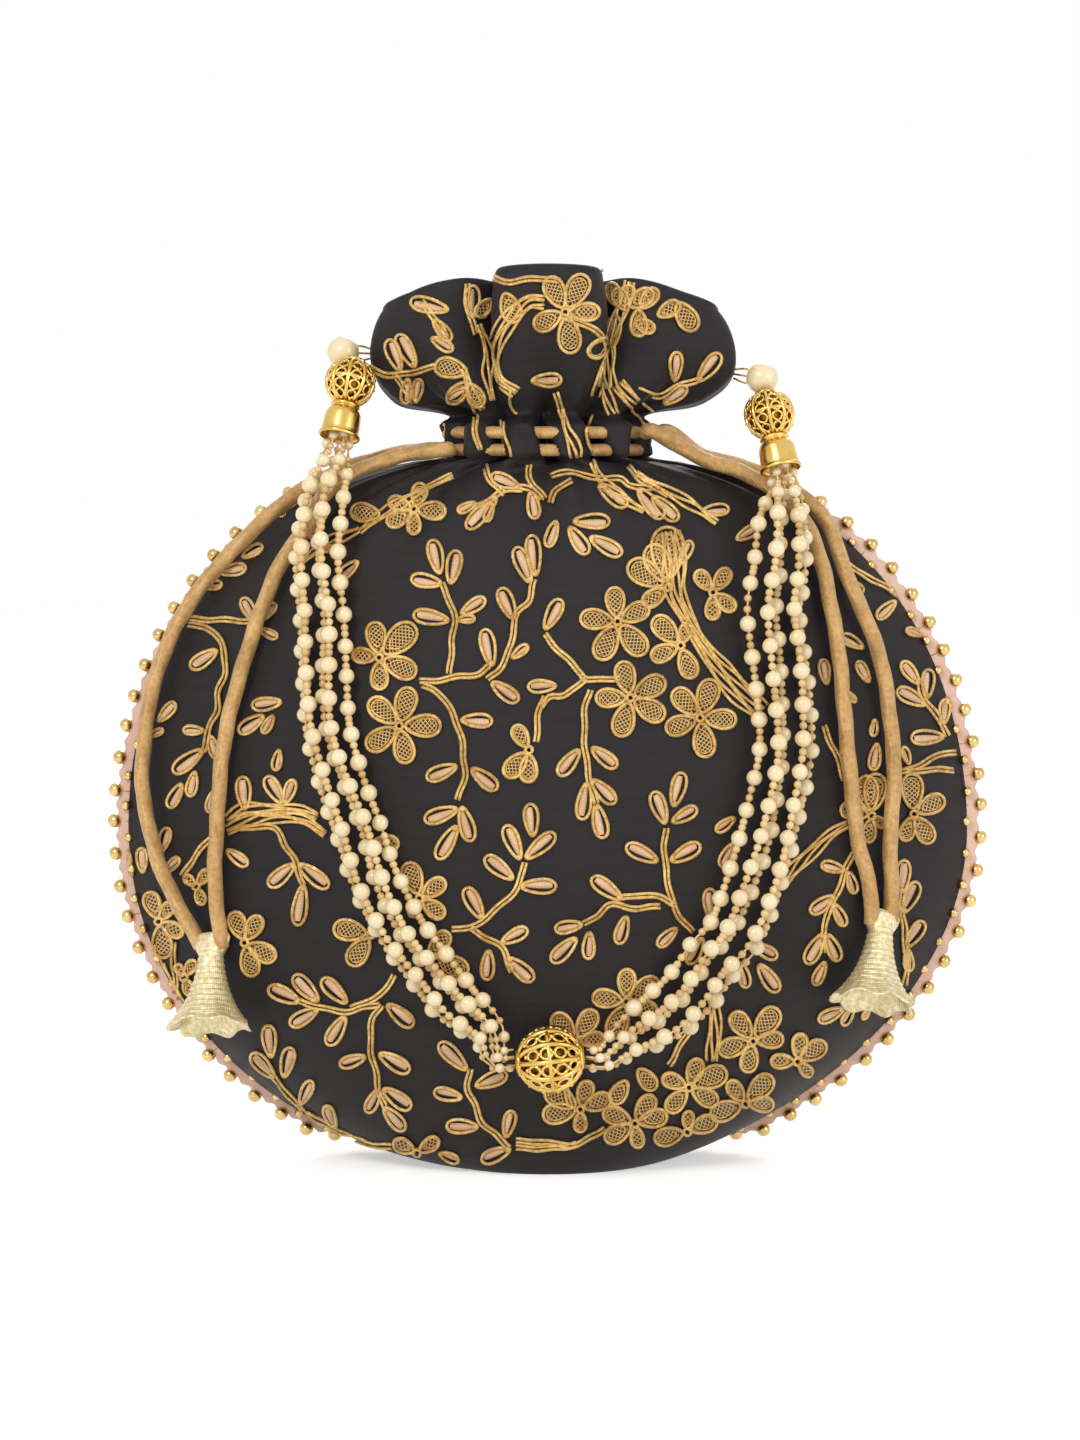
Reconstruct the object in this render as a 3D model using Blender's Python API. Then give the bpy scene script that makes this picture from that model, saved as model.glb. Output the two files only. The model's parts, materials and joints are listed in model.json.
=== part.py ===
# Potli bag: a round drawstring pouch with a gathered neck and a ruffle, a beaded rim,
# two drawcords that end in bells, and a handle of bead strands.
# Lengths are metres. The bag stands on its base, faces -Y, and its origin is under its middle.

import math

import bmesh
import bpy
from mathutils import Vector

MM = 0.001

# Pouch
BODY_HALF_WIDTH = 105.5 * MM
WIDEST_HEIGHT = 84 * MM
NECK_HEIGHT = 176 * MM
FRONT_BULGE = 41 * MM
BACK_BULGE = 32 * MM
BASE_HALF_WIDTH = 31 * MM
BASE_FRONT = 21 * MM
BASE_BACK = 14 * MM
SHOULDER_ROUNDNESS = 0.48
SHOULDER_TILT = 0.5
LEFT_SAG = 0.62
RIGHT_SAG = 0.76
DEPTH_ROUNDNESS = 1.1
EDGE_SHARPNESS = 0.5
SEAM_SETBACK = 12 * MM
SETBACK_HEIGHT = 40 * MM
SEAM_FOOT = 6 * MM

# Gathered neck
NECK_HALF_WIDTH = 22.5 * MM
NECK_FRONT = 16 * MM
NECK_BACK = 15 * MM
TIE_BAND = 10 * MM
PLEATS = 12
PLEAT_DEPTH = 5 * MM
PLEAT_REACH = 30 * MM
SEAM_FLATNESS = 4
CENTRE_PLEAT_DEPTH = 3 * MM
CENTRE_PLEAT_REACH = 90 * MM

# Ruffle
RUFFLE_LEFT = 46 * MM
RUFFLE_RIGHT = 47.5 * MM
RUFFLE_FRONT = 31 * MM
RUFFLE_BACK = 27 * MM
RISE_FRONT = 36 * MM
RISE_SIDE = 25 * MM
RISE_BACK = 31 * MM
RUFFLE_FULLEST = 0.72
RUFFLE_CURL = 0.12
LOBE_VALLEYS = (30, 90, 150, 240, 300)
LOBE_DEPTH = 0.36
LOBE_START = 0.6
LOBE_ROUNDNESS = 0.6

# Cloth layers
PANEL_THICKNESS = 1.6 * MM
LINING_THICKNESS = 0.8 * MM
CLEARANCE = 0.3 * MM
LINING_SLACK = 0.7 * MM
SEAM_GAP = 0.6 * MM

# Beaded rim
TAPE_THICKNESS = 0.6 * MM
TAPE_START = 0.5 * MM
RIM_BEAD_PITCH = 9 * MM
LARGE_RIM_BEAD = 3.6 * MM
SMALL_RIM_BEAD = 2.5 * MM
LARGE_BEAD_REACH = 2.9 * MM
SMALL_BEAD_REACH = 1.8 * MM
RIM_TOP_DROP = 5 * MM
RIM_MAX_DROOP = 0.55

# Bead handle
PIVOT_FRONT = 11.5 * MM
LEFT_BALL_RISE = 19 * MM
RIGHT_BALL_RISE = 11 * MM
LEFT_BALL_GAP = 2.5 * MM
RIGHT_BALL_GAP = 7 * MM
END_BALL = 12.5 * MM
END_PEARL = 8 * MM
LEFT_PEARL_SHIFT = 2.1 * MM
LEFT_PEARL_RISE = 7.5 * MM
RIGHT_PEARL_SHIFT = -1.5 * MM
RIGHT_PEARL_RISE = 9 * MM
CAP_LENGTH = 8 * MM
CAP_SPLAY = 0.2
CAP_FORWARD = 0.35
CAP_NECK = 6.4 * MM
CAP_SHOULDER = 8.9 * MM
CAP_SHOULDER_DROP = 2.6 * MM
CAP_MOUTH = 10.1 * MM
CAP_WALL = 0.6 * MM
CAP_CUP_DEPTH = 4.5 * MM
CENTRE_BALL = 16.5 * MM
CENTRE_BALL_HEIGHT = 34 * MM
CENTRE_BALL_SIDE = 0.5 * MM
PEARL = 4.1 * MM
SPACER = 1.6 * MM
PEARL_PITCH = 8 * MM
STRAND_SPREAD_LEFT = 5.6 * MM
STRAND_SPREAD_RIGHT = 6.8 * MM
STRAND_LAYER = 4 * MM
BUNDLE_WAIST = 0.46
WAIST_SPREAD = 2.25 * MM
BUNDLE_FLARE = 26 * MM
END_RUN = 5 * MM

# Drawcords and bells
CORD = 4 * MM
CORD_POINT_SPACING = 7.5 * MM
EXIT_ANGLES = (82, 62)
EXIT_RUN = 2 * MM
CORD_SLACK = 0.8 * MM
BELL_HEIGHT = 19 * MM
BELL_TOP = 6 * MM
BELL_LIP = 20.5 * MM
BELL_WALL = 0.9 * MM
BELL_RIBS = 6
BELL_RIB_DEPTH = 0.3 * MM
BELL_EDGE = 0.6 * MM
CORD_END_SLANT = 0.5 * MM

# Mesh fineness
COLUMNS = 48
LOWER_ROWS = (0.18, 0.36, 0.62, 1.0)
UPPER_ROWS = (0.3, 0.57, 0.76, 0.89, 0.97, 1.0)
RUFFLE_ROWS = (0.18, 0.4, 0.62, 0.82, 1.0)
RIM_ROWS = (0.97, 0.935, 0.877, 0.795, 0.7, 0.585, 0.49, 0.4, 0.305, 0.22, 0.16, 0.105)

BAND_TOP = NECK_HEIGHT + TIE_BAND
RUFFLE_TOP = BAND_TOP + RISE_FRONT
RIM_TOP = NECK_HEIGHT - RIM_TOP_DROP
LEFT_BALL_HEIGHT = NECK_HEIGHT + LEFT_BALL_RISE
RIGHT_BALL_HEIGHT = NECK_HEIGHT + RIGHT_BALL_RISE
LEFT_BALL_SIDE = RUFFLE_LEFT + LEFT_BALL_GAP
RIGHT_BALL_SIDE = RUFFLE_RIGHT + RIGHT_BALL_GAP
PIVOT_LIFT = 3 * MM
PIVOT_HEIGHT = 0.5 * (LEFT_BALL_HEIGHT + RIGHT_BALL_HEIGHT) + PIVOT_LIFT

# Routes over the front of the pouch: degrees round it, height in mm on a neck of this height, lift in mm
ROUTE_NECK_HEIGHT = 176
LEFT_BUNDLE = ((221, 162, 10.5), (225, 157, 9.8), (229, 150, 8.8), (232, 143, 6.6), (234, 137, 5),
               (237, 123, 4.8), (239, 111, 4.8), (242, 99, 4.8), (245, 87, 4.8), (247, 75, 4.8),
               (250, 63, 4.8), (254, 53, 4.8), (257, 46, 5), (261, 40, 5.6))
RIGHT_BUNDLE = ((315, 155, 9), (310.5, 147, 7), (307, 139, 5), (305, 127, 4.8), (304, 117, 4.8),
                (303, 105, 4.8), (301, 93, 4.8), (299, 80, 4.8), (296, 63, 4.8), (293, 56, 4.8),
                (291, 49, 4.8), (288, 43, 5), (283, 38, 5.6))
LEFT_OUTER = ((193, 174.5), (192, 171), (193, 166), (196, 160), (196, 151), (194, 141), (194, 130),
              (196, 116), (199, 101), (201, 92), (206, 77), (210, 67), (213.5, 57))
LEFT_INNER = ((206, 174), (206, 170), (211, 165), (217, 160), (218, 151), (220, 139), (221, 127),
              (221, 115), (221, 103), (221, 88), (220, 73), (218.5, 57))
RIGHT_OUTER = ((347, 174.5), (348, 171), (347, 166), (340, 159), (332, 152), (328, 144), (327, 136),
               (326, 125), (324, 110), (323, 98), (321.5, 84), (322.5, 73), (324.5, 63))
RIGHT_INNER = ((334, 174), (335, 170), (334, 165), (329, 158), (324, 150), (320, 141), (317, 129),
               (315, 117), (314, 98), (315, 83), (318, 72), (320, 63))


def body_share(height):
    """How far the pouch has opened from base or neck to its widest, to the left and right."""
    if height >= WIDEST_HEIGHT:
        up = min((height - WIDEST_HEIGHT) / (NECK_HEIGHT - WIDEST_HEIGHT), 1)
        share = (1 - up * up) ** SHOULDER_ROUNDNESS
        return share, share
    down = 1 - max(height, 0) / WIDEST_HEIGHT
    return (1 - down * down) ** LEFT_SAG, (1 - down * down) ** RIGHT_SAG


def ruffle_flare(height):
    """How far the ruffle has opened from the neck, with its top edge curling in."""
    up = (height - BAND_TOP) / RISE_FRONT
    flare = math.sin(0.5 * math.pi * min(up / RUFFLE_FULLEST, 1))
    curl = max(up - RUFFLE_FULLEST, 0) / (1 - RUFFLE_FULLEST)
    return flare - RUFFLE_CURL * curl * curl


def half_sizes(height):
    """Reach to the left, right, front and back at a height."""
    if height > BAND_TOP:
        flare = ruffle_flare(height)
        return (NECK_HALF_WIDTH + (RUFFLE_LEFT - NECK_HALF_WIDTH) * flare,
                NECK_HALF_WIDTH + (RUFFLE_RIGHT - NECK_HALF_WIDTH) * flare,
                NECK_FRONT + (RUFFLE_FRONT - NECK_FRONT) * flare,
                NECK_BACK + (RUFFLE_BACK - NECK_BACK) * flare)
    if height >= NECK_HEIGHT:
        return NECK_HALF_WIDTH, NECK_HALF_WIDTH, NECK_FRONT, NECK_BACK
    left, right = body_share(height)
    depth = (0.5 * (left + right)) ** DEPTH_ROUNDNESS
    upper = height >= WIDEST_HEIGHT
    wide = NECK_HALF_WIDTH if upper else BASE_HALF_WIDTH
    front = NECK_FRONT if upper else BASE_FRONT
    back = NECK_BACK if upper else BASE_BACK
    return (wide + (BODY_HALF_WIDTH - wide) * left,
            wide + (BODY_HALF_WIDTH - wide) * right,
            front + (FRONT_BULGE - front) * depth,
            back + (BACK_BULGE - back) * depth)


def slope(height):
    """Outward direction of the side profile: its sideways and upward parts."""
    step = 0.5 * MM
    low = max(height - step, 0)
    high = min(height + step, RUFFLE_TOP)
    widening = sum(half_sizes(high)[:2]) - sum(half_sizes(low)[:2])
    run = 0.5 * widening / (high - low)
    upward = min(-run / math.hypot(1, run), SHOULDER_TILT)
    return math.sqrt(1 - upward * upward), upward


def pleat_inset(angle, height):
    """How deep the gathers cut in: all round near the neck, and further down at the front middle."""
    below = max(NECK_HEIGHT - height, 0)
    above = max(height - BAND_TOP, 0)
    fold = (0.5 + 0.5 * math.cos(PLEATS * angle)) * min(SEAM_FLATNESS * abs(math.sin(angle)), 1)
    spread = half_sizes(max(height, WIDEST_HEIGHT))[1] - NECK_HALF_WIDTH if below else above
    spread += max(WIDEST_HEIGHT - height, 0)
    inset = fold * PLEAT_DEPTH * math.exp(-spread / PLEAT_REACH)
    off_centre = abs(math.degrees(angle) % 360 - 270) / (360 / COLUMNS)
    if below and off_centre < 1:
        fade = max(1 - below / CENTRE_PLEAT_REACH, 0)
        inset += CENTRE_PLEAT_DEPTH * fade * (1 - off_centre) * min(below / TIE_BAND, 1)
    return inset


def lobe_factor(angle, height):
    """Shrinks the ruffle towards the valleys between its lobes."""
    if height <= BAND_TOP:
        return 1.0
    turn = math.degrees(angle) % 360
    valleys = [v - 360 for v in LOBE_VALLEYS[-1:]] + list(LOBE_VALLEYS) + [LOBE_VALLEYS[0] + 360]
    low = max(v for v in valleys if v <= turn + 0.001)
    high = min(v for v in valleys if v > turn + 0.001)
    bulge = max(math.sin(math.pi * (turn - low) / (high - low)), 0) ** LOBE_ROUNDNESS
    ramp = min((height - BAND_TOP) / (RISE_FRONT * LOBE_START), 1)
    return 1 - LOBE_DEPTH * ramp * ramp * (3 - 2 * ramp) * (1 - bulge)


def rise(angle, height):
    """World height: the ruffle stands highest at the front and lowest at the sides."""
    if height <= BAND_TOP:
        return height
    towards_front = -math.sin(angle)
    tall = RISE_FRONT if towards_front > 0 else RISE_BACK
    top = RISE_SIDE + (tall - RISE_SIDE) * abs(towards_front) ** 1.3
    return BAND_TOP + (height - BAND_TOP) * top / RISE_FRONT


def seam_line(height):
    """How far behind the middle the side seams run, which is furthest near the base."""
    return SEAM_SETBACK * max(1 - height / SETBACK_HEIGHT, 0) ** 2


def skin(angle, height, depth=0.0, pleated=True, gap=0.0):
    """A point of the wall, at a depth below its outer face. A gap keeps the seam's edge apart."""
    left, right, front, back = half_sizes(height)
    sideways, upward = slope(height)
    inset = depth * sideways + (pleat_inset(angle, height) if pleated else 0)
    factor = lobe_factor(angle, height)
    share = 0.5 * sum(body_share(height)) if height < NECK_HEIGHT else 0
    power = 1 + EDGE_SHARPNESS * share
    seam = seam_line(height)
    sine = math.sin(angle)
    behind = gap > 0 or (gap == 0 and sine >= 0)
    reach = (back if behind else front) * factor - inset + (-seam if behind else seam)
    forward = abs(sine) ** power * reach
    if forward < abs(gap):
        forward = abs(gap)
    if abs(sine) < 1e-6:
        turn = math.asin((forward / reach) ** (1 / power))
        cosine = math.copysign(math.cos(turn), math.cos(angle))
    else:
        cosine = math.cos(angle)
    x = ((right if cosine > 0 else left) * factor - inset) * cosine
    y = seam + forward if behind else seam - forward
    return Vector((x, y, rise(angle, height) - depth * upward))


def outward(angle, height):
    """Outward direction of the ungathered wall."""
    turn = math.radians(2)
    step = 1 * MM
    low = max(height - step, 0)
    high = min(height + step, RUFFLE_TOP)
    along = skin(angle + turn, height, 0, False) - skin(angle - turn, height, 0, False)
    up = skin(angle, high, 0, False) - skin(angle, low, 0, False)
    return along.cross(up).normalized()


def on_skin(degrees, height, lift):
    """A point lifted off the ungathered wall, with the outward direction there."""
    angle = math.radians(degrees)
    direction = outward(angle, height)
    return skin(angle, height, 0, False) + direction * lift, direction


def on_route(degrees, height_mm, lift):
    """A point of a route, whose heights follow the height of the neck."""
    return on_skin(degrees, height_mm / ROUTE_NECK_HEIGHT * NECK_HEIGHT, lift)


def material(name, colour, roughness, metallic=0.0):
    made = bpy.data.materials.new(name)
    made.use_nodes = True
    shader = made.node_tree.nodes["Principled BSDF"]
    shader.inputs["Base Color"].default_value = (*colour, 1)
    shader.inputs["Roughness"].default_value = roughness
    shader.inputs["Metallic"].default_value = metallic
    return made


def add_object(name, data, finish):
    made = bpy.data.objects.new(name, data)
    bpy.context.scene.collection.objects.link(made)
    data.materials.append(finish)
    return made


def mesh_object(name, points, faces, finish, crease=50):
    """An object from points and faces, wound outward and shaded smooth up to an angle."""
    mesh = bpy.data.meshes.new(name)
    mesh.from_pydata([tuple(p) for p in points], [], faces)
    shape = bmesh.new()
    shape.from_mesh(mesh)
    bmesh.ops.triangulate(shape, faces=shape.faces, quad_method="FIXED")
    bmesh.ops.recalc_face_normals(shape, faces=shape.faces)
    shape.to_mesh(mesh)
    shape.free()
    mesh.shade_smooth()
    mesh.set_sharp_from_angle(angle=math.radians(crease))
    return add_object(name, mesh, finish)


def column_angles(first, last):
    """Angles of the grid's columns, by their numbers."""
    return [math.radians(360 / COLUMNS * i) for i in range(first, last + 1)]


def grid_faces(rows, columns, start, closed=False):
    """Quads between neighbouring rows and columns of points."""
    faces = []
    spans = columns if closed else columns - 1
    for row in range(rows - 1):
        for column in range(spans):
            after = (column + 1) % columns
            low = start + row * columns
            high = low + columns
            faces.append((low + column, low + after, high + after, high + column))
    return faces


def ruffle_heights():
    return [BAND_TOP] + [BAND_TOP + share * RISE_FRONT for share in RUFFLE_ROWS]


def body_heights():
    """Heights of the grid's rows above the foot of the seam, up to the neck."""
    lower = [share * WIDEST_HEIGHT for share in LOWER_ROWS]
    upper = [WIDEST_HEIGHT + share * (NECK_HEIGHT - WIDEST_HEIGHT) for share in UPPER_ROWS]
    return lower + upper


def back_panel(finish):
    """The back of the pouch, neck and ruffle, a half shell that starts above the base."""
    heights = [SEAM_FOOT + SEAM_GAP] + body_heights() + ruffle_heights()
    angles = column_angles(0, COLUMNS // 2)
    points = []
    for depth in (0, PANEL_THICKNESS):
        points += [skin(a, h, depth, True, SEAM_GAP) for h in heights for a in angles]
    rows, columns = len(heights), len(angles)
    layer = rows * columns
    faces = grid_faces(rows, columns, 0) + grid_faces(rows, columns, layer)
    for column in range(columns - 1):
        top = layer - columns + column
        faces.append((column, column + 1, layer + column + 1, layer + column))
        faces.append((top, top + 1, layer + top + 1, layer + top))
    for row in range(rows - 1):
        for edge in (row * columns, row * columns + columns - 1):
            faces.append((edge, edge + columns, layer + edge + columns, layer + edge))
    return mesh_object("back_panel", points, faces, finish)


def front_panel(finish):
    """The front of the pouch, neck and ruffle, with the base and the foot of the back."""
    half = COLUMNS // 2
    low_heights = [0, 0.4 * SEAM_FOOT, SEAM_FOOT - SEAM_GAP]
    high_heights = body_heights() + ruffle_heights()
    around = [2 * math.pi] + column_angles(1, COLUMNS - 1)
    front = column_angles(half, COLUMNS)
    points = []
    for depth in (0, PANEL_THICKNESS):
        points += [skin(a, h, depth, True, -SEAM_GAP if a >= math.pi else 0)
                   for h in low_heights for a in around]
        points += [skin(a, h, depth, True, -SEAM_GAP) for h in high_heights for a in front]
    low_count = len(low_heights) * COLUMNS
    columns = len(front)
    layer = low_count + len(high_heights) * columns
    collar = low_count - COLUMNS
    faces = []
    for start in (0, layer):
        faces.append([start + i for i in range(COLUMNS)])
        faces += grid_faces(len(low_heights), COLUMNS, start, True)
        for column in range(columns - 1):
            below = start + collar + half + column
            after = start + collar + (half + column + 1) % COLUMNS
            above = start + low_count + column
            faces.append((below, after, above + 1, above))
        faces += grid_faces(len(high_heights), columns, start + low_count)
    for column in range(half):
        low = collar + column
        faces.append((low, low + 1, layer + low + 1, layer + low))
    for column in range(columns - 1):
        top = layer - columns + column
        faces.append((top, top + 1, layer + top + 1, layer + top))
    for low, first in ((collar + half, low_count), (collar, low_count + columns - 1)):
        line = [low] + [first + row * columns for row in range(len(high_heights))]
        for a, b in zip(line, line[1:]):
            faces.append((a, b, layer + b, layer + a))
    return mesh_object("front_panel", points, faces, finish)


def lining(finish):
    """The inner pouch, open at the top of the ruffle."""
    heights = [0, SEAM_FOOT] + body_heights() + ruffle_heights()
    angles = column_angles(0, COLUMNS - 1)
    outer = PANEL_THICKNESS + LINING_SLACK
    points = []
    for depth in (outer, outer + LINING_THICKNESS):
        points += [skin(a, h, depth) for h in heights for a in angles]
    rows, columns = len(heights), len(angles)
    layer = rows * columns
    faces = [list(range(columns)), [layer + i for i in range(columns)]]
    faces += grid_faces(rows, columns, 0, True) + grid_faces(rows, columns, layer, True)
    for column in range(columns):
        after = (column + 1) % columns
        top = layer - columns
        faces.append((top + column, top + after, layer + top + after, layer + top + column))
    return mesh_object("lining", points, faces, finish)


def smooth_path(points, step):
    """Even points along a smooth curve through the given ones."""
    ends = [2 * points[0] - points[1]] + list(points) + [2 * points[-1] - points[-2]]
    dense = []
    for a, b, c, d in zip(ends, ends[1:], ends[2:], ends[3:]):
        for i in range(24):
            t = i / 24
            dense.append(0.5 * (2 * b + (c - a) * t + (2 * a - 5 * b + 4 * c - d) * t * t
                                + (3 * b - a - 3 * c + d) * t ** 3))
    dense.append(points[-1].copy())
    lengths = [0.0]
    for a, b in zip(dense, dense[1:]):
        lengths.append(lengths[-1] + (b - a).length)
    count = max(round(lengths[-1] / step), 2)
    even = []
    at = 0
    for i in range(count + 1):
        target = lengths[-1] * i / count
        while at < len(dense) - 2 and lengths[at + 1] < target:
            at += 1
        share = (target - lengths[at]) / max(lengths[at + 1] - lengths[at], 1e-9)
        even.append(dense[at].lerp(dense[at + 1], share))
    return even


def rim_route():
    """The seam from the right of the neck round behind the base to the left, with outward ways."""
    route = []
    heights = [RIM_TOP] + [share * RIM_TOP for share in RIM_ROWS]
    heights += [SEAM_FOOT + LARGE_BEAD_REACH + SMALL_BEAD_REACH, SEAM_FOOT + SMALL_BEAD_REACH]
    for angle, turn in ((0.0, 1), (math.pi, -1)):
        side = []
        for height in heights:
            sideways, upward = slope(height)
            upward = max(upward, -RIM_MAX_DROOP)
            way = Vector((turn * sideways, 0, upward)).normalized()
            side.append((skin(angle, height), way))
        route.append(side)
    behind = []
    for degrees in range(20, 161, 10):
        angle = math.radians(degrees)
        way = outward(angle, SEAM_FOOT)
        way = Vector((way.x, way.y, max(way.z, -RIM_MAX_DROOP))).normalized()
        behind.append((skin(angle, SEAM_FOOT), way))
    return route[0] + behind + route[1][::-1]


def rim_trim(finish):
    """Seam tape whose edge carries large and small beads in turn."""
    route = rim_route()
    spots = [p for p, way in route]
    path = smooth_path(spots, 1 * MM)
    ways = smooth_path([p + way * 5 * MM for p, way in route], 1 * MM)
    total = sum((b - a).length for a, b in zip(path, path[1:]))
    beads = round(total / RIM_BEAD_PITCH)
    pitch = total / beads
    large = 0.5 * LARGE_RIM_BEAD
    small = 0.5 * SMALL_RIM_BEAD
    stations = []
    for i in range(beads):
        middle = (i + 0.5) * pitch
        stations.append((middle - 0.5 * large, 0.87 * large, LARGE_BEAD_REACH))
        stations.append((middle + 0.5 * large, 0.87 * large, LARGE_BEAD_REACH))
        if i < beads - 1:
            stations.append((middle + 0.5 * pitch, small, SMALL_BEAD_REACH))
    points = []
    edge = 0.5 * TAPE_THICKNESS
    for distance, radius, reach in stations:
        share = distance / total
        spot = path[min(round(share * (len(path) - 1)), len(path) - 1)]
        after = path[min(round(share * (len(path) - 1)) + 1, len(path) - 1)]
        before = path[max(round(share * (len(path) - 1)) - 1, 0)]
        tangent = (after - before).normalized()
        way = ways[min(round(share * (len(ways) - 1)), len(ways) - 1)] - spot
        way = (way - tangent * way.dot(tangent)).normalized()
        across = tangent.cross(way)
        points.append(spot + way * TAPE_START + across * edge)
        for turn in (150, 90, 30, -30, -90, -150):
            along = reach + radius * math.cos(math.radians(turn))
            side = radius * math.sin(math.radians(turn))
            points.append(spot + way * along + across * side)
        points.append(spot + way * TAPE_START - across * edge)
    rows = len(points) // 8
    faces = grid_faces(rows, 8, 0, True)
    faces.append(list(range(8)))
    faces.append([len(points) - 8 + i for i in range(8)])
    return mesh_object("rim_trim", points, faces, finish)


def turned(name, profile, segments, finish, start, direction):
    """A turned solid from a closed profile of radius and distance along its axis."""
    axis = direction.normalized()
    side = axis.orthogonal().normalized()
    other = axis.cross(side)
    points = []
    rings = []
    for radius, along in profile:
        centre = start + axis * along
        if radius == 0:
            rings.append([len(points)])
            points.append(centre)
            continue
        ring = []
        for i in range(segments):
            angle = 2 * math.pi * i / segments
            ring.append(len(points))
            points.append(centre + (side * math.cos(angle) + other * math.sin(angle)) * radius)
        rings.append(ring)
    faces = []
    for low, high in zip(rings, rings[1:]):
        for i in range(segments):
            j = (i + 1) % segments
            if len(low) == 1:
                faces.append((low[0], high[j], high[i]))
            elif len(high) == 1:
                faces.append((low[i], low[j], high[0]))
            else:
                faces.append((low[i], low[j], high[j], high[i]))
    return mesh_object(name, points, faces, finish)


def ball(name, centre, diameter, segments, rings, finish, ribs=0.0):
    """A ball, with every other meridian sunk to leave ribs if asked."""
    radius = 0.5 * diameter
    points = [centre + Vector((0, 0, radius))]
    for ring in range(1, rings):
        tilt = math.pi * ring / rings
        for i in range(segments):
            angle = 2 * math.pi * i / segments
            sunk = 1 - (ribs if i % 2 and 1 < ring < rings - 1 else 0)
            points.append(centre + radius * sunk * Vector((math.sin(tilt) * math.cos(angle),
                                                           math.sin(tilt) * math.sin(angle),
                                                           math.cos(tilt))))
    points.append(centre - Vector((0, 0, radius)))
    last = len(points) - 1
    faces = grid_faces(rings - 1, segments, 1, True)
    for i in range(segments):
        j = (i + 1) % segments
        faces.append((0, 1 + i, 1 + j))
        faces.append((last, last - segments + j, last - segments + i))
    return mesh_object(name, points, faces, finish)


def end_cap(name, ball_centre, direction, finish):
    """A hollow cone cap: it stands on the end ball and holds the strands' ends."""
    top = 0.5 * END_BALL + CLEARANCE
    mouth = top + CAP_LENGTH
    shoulder = top + CAP_SHOULDER_DROP
    floor = mouth - CAP_CUP_DEPTH
    flare = (CAP_MOUTH - CAP_SHOULDER) / (mouth - shoulder)
    floor_radius = 0.5 * (CAP_SHOULDER + flare * (floor - shoulder)) - CAP_WALL
    profile = [(0, top), (0.5 * CAP_NECK, top), (0.5 * CAP_SHOULDER, shoulder),
               (0.5 * CAP_MOUTH, mouth), (0.5 * CAP_MOUTH - CAP_WALL, mouth),
               (floor_radius, floor), (0, floor)]
    return turned(name, profile, 12, finish, ball_centre, direction)


def bundle_path(ball_centre, direction, route, side):
    """The middle of a bundle from inside its cap to the centre ball, with outward ways."""
    start = 0.5 * END_BALL + CLEARANCE + CAP_LENGTH - CAP_CUP_DEPTH + CLEARANCE
    mouth = 0.5 * END_BALL + CLEARANCE + CAP_LENGTH
    front = Vector((0, -1, 0.2)).normalized()
    spots = [(ball_centre + direction * start, front),
             (ball_centre + direction * mouth, front),
             (ball_centre + direction * (mouth + END_RUN), front)]
    spots += [on_route(degrees, height, lift * MM) for degrees, height, lift in route]
    centre, out = centre_ball_place()
    for reach in (0.5 * CENTRE_BALL + END_RUN, 0.5 * CENTRE_BALL + CLEARANCE):
        spots.append((centre + Vector((side, 0, 0)) * reach, out))
    middle = smooth_path([p for p, out in spots], 1 * MM)
    outs = smooth_path([p + out * 10 * MM for p, out in spots], 1 * MM)
    return middle, outs


def centre_ball_place():
    """The centre ball rests on the front of the pouch."""
    share = CENTRE_BALL_SIDE / half_sizes(CENTRE_BALL_HEIGHT)[1]
    degrees = 270 + math.degrees(share)
    return on_skin(degrees, CENTRE_BALL_HEIGHT, 0.5 * CENTRE_BALL + CLEARANCE)


def strand(name, middle, outs, offset, spacing, phase, finish):
    """One strand of pearls with thin spacers between them, along its place in the bundle."""
    total = sum((b - a).length for a, b in zip(middle, middle[1:]))
    closest = math.hypot(0.5 * STRAND_SPREAD_LEFT, STRAND_LAYER)

    def frame_at(distance):
        share = min(max(distance / total, 0), 1)
        at = min(max(round(share * (len(middle) - 1)), 1), len(middle) - 2)
        tangent = (middle[at + 1] - middle[at - 1]).normalized()
        place = share * (len(middle) - 1)
        low = min(int(place), len(middle) - 2)
        spot = middle[low].lerp(middle[low + 1], place - low)
        out = outs[min(round(share * (len(outs) - 1)), len(outs) - 1)] - spot
        out = (out - tangent * out.dot(tangent)).normalized()
        side = tangent.cross(out)
        near_end = min(distance, total - distance) / BUNDLE_FLARE
        ramp = min(max(near_end, 0), 1)
        ramp = ramp * ramp * (3 - 2 * ramp)
        spread = BUNDLE_WAIST + (1 - BUNDLE_WAIST) * ramp
        across = offset[0] * (spacing * ramp + WAIST_SPREAD * (1 - ramp))
        centre = spot + side * across + out * offset[1] * spread
        return centre, side, out, spread

    count = int((total - 2 * PEARL_PITCH) / PEARL_PITCH)
    first = 0.5 * (total - count * PEARL_PITCH) + phase * PEARL_PITCH
    stations = [(0.0, 0.5 * SPACER)]
    for i in range(count):
        at = first + i * PEARL_PITCH
        spread = frame_at(at)[3]
        radius = min(0.5 * PEARL, 0.5 * (closest * spread - CLEARANCE))
        stations.append((at - 0.5 * radius, 0.87 * radius))
        stations.append((at + 0.5 * radius, 0.87 * radius))
        if i < count - 1:
            stations.append((at + 0.5 * PEARL_PITCH, 0.5 * SPACER))
    stations.append((total, 0.5 * SPACER))
    sides = 5
    points = []
    for distance, radius in stations:
        centre, side, out, spread = frame_at(distance)
        for i in range(sides):
            angle = 2 * math.pi * i / sides
            points.append(centre + (side * math.cos(angle) + out * math.sin(angle)) * radius)
    faces = grid_faces(len(stations), sides, 0, True)
    faces.append(list(range(sides)))
    faces.append([len(points) - sides + i for i in range(sides)])
    return mesh_object(name, points, faces, finish)


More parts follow.
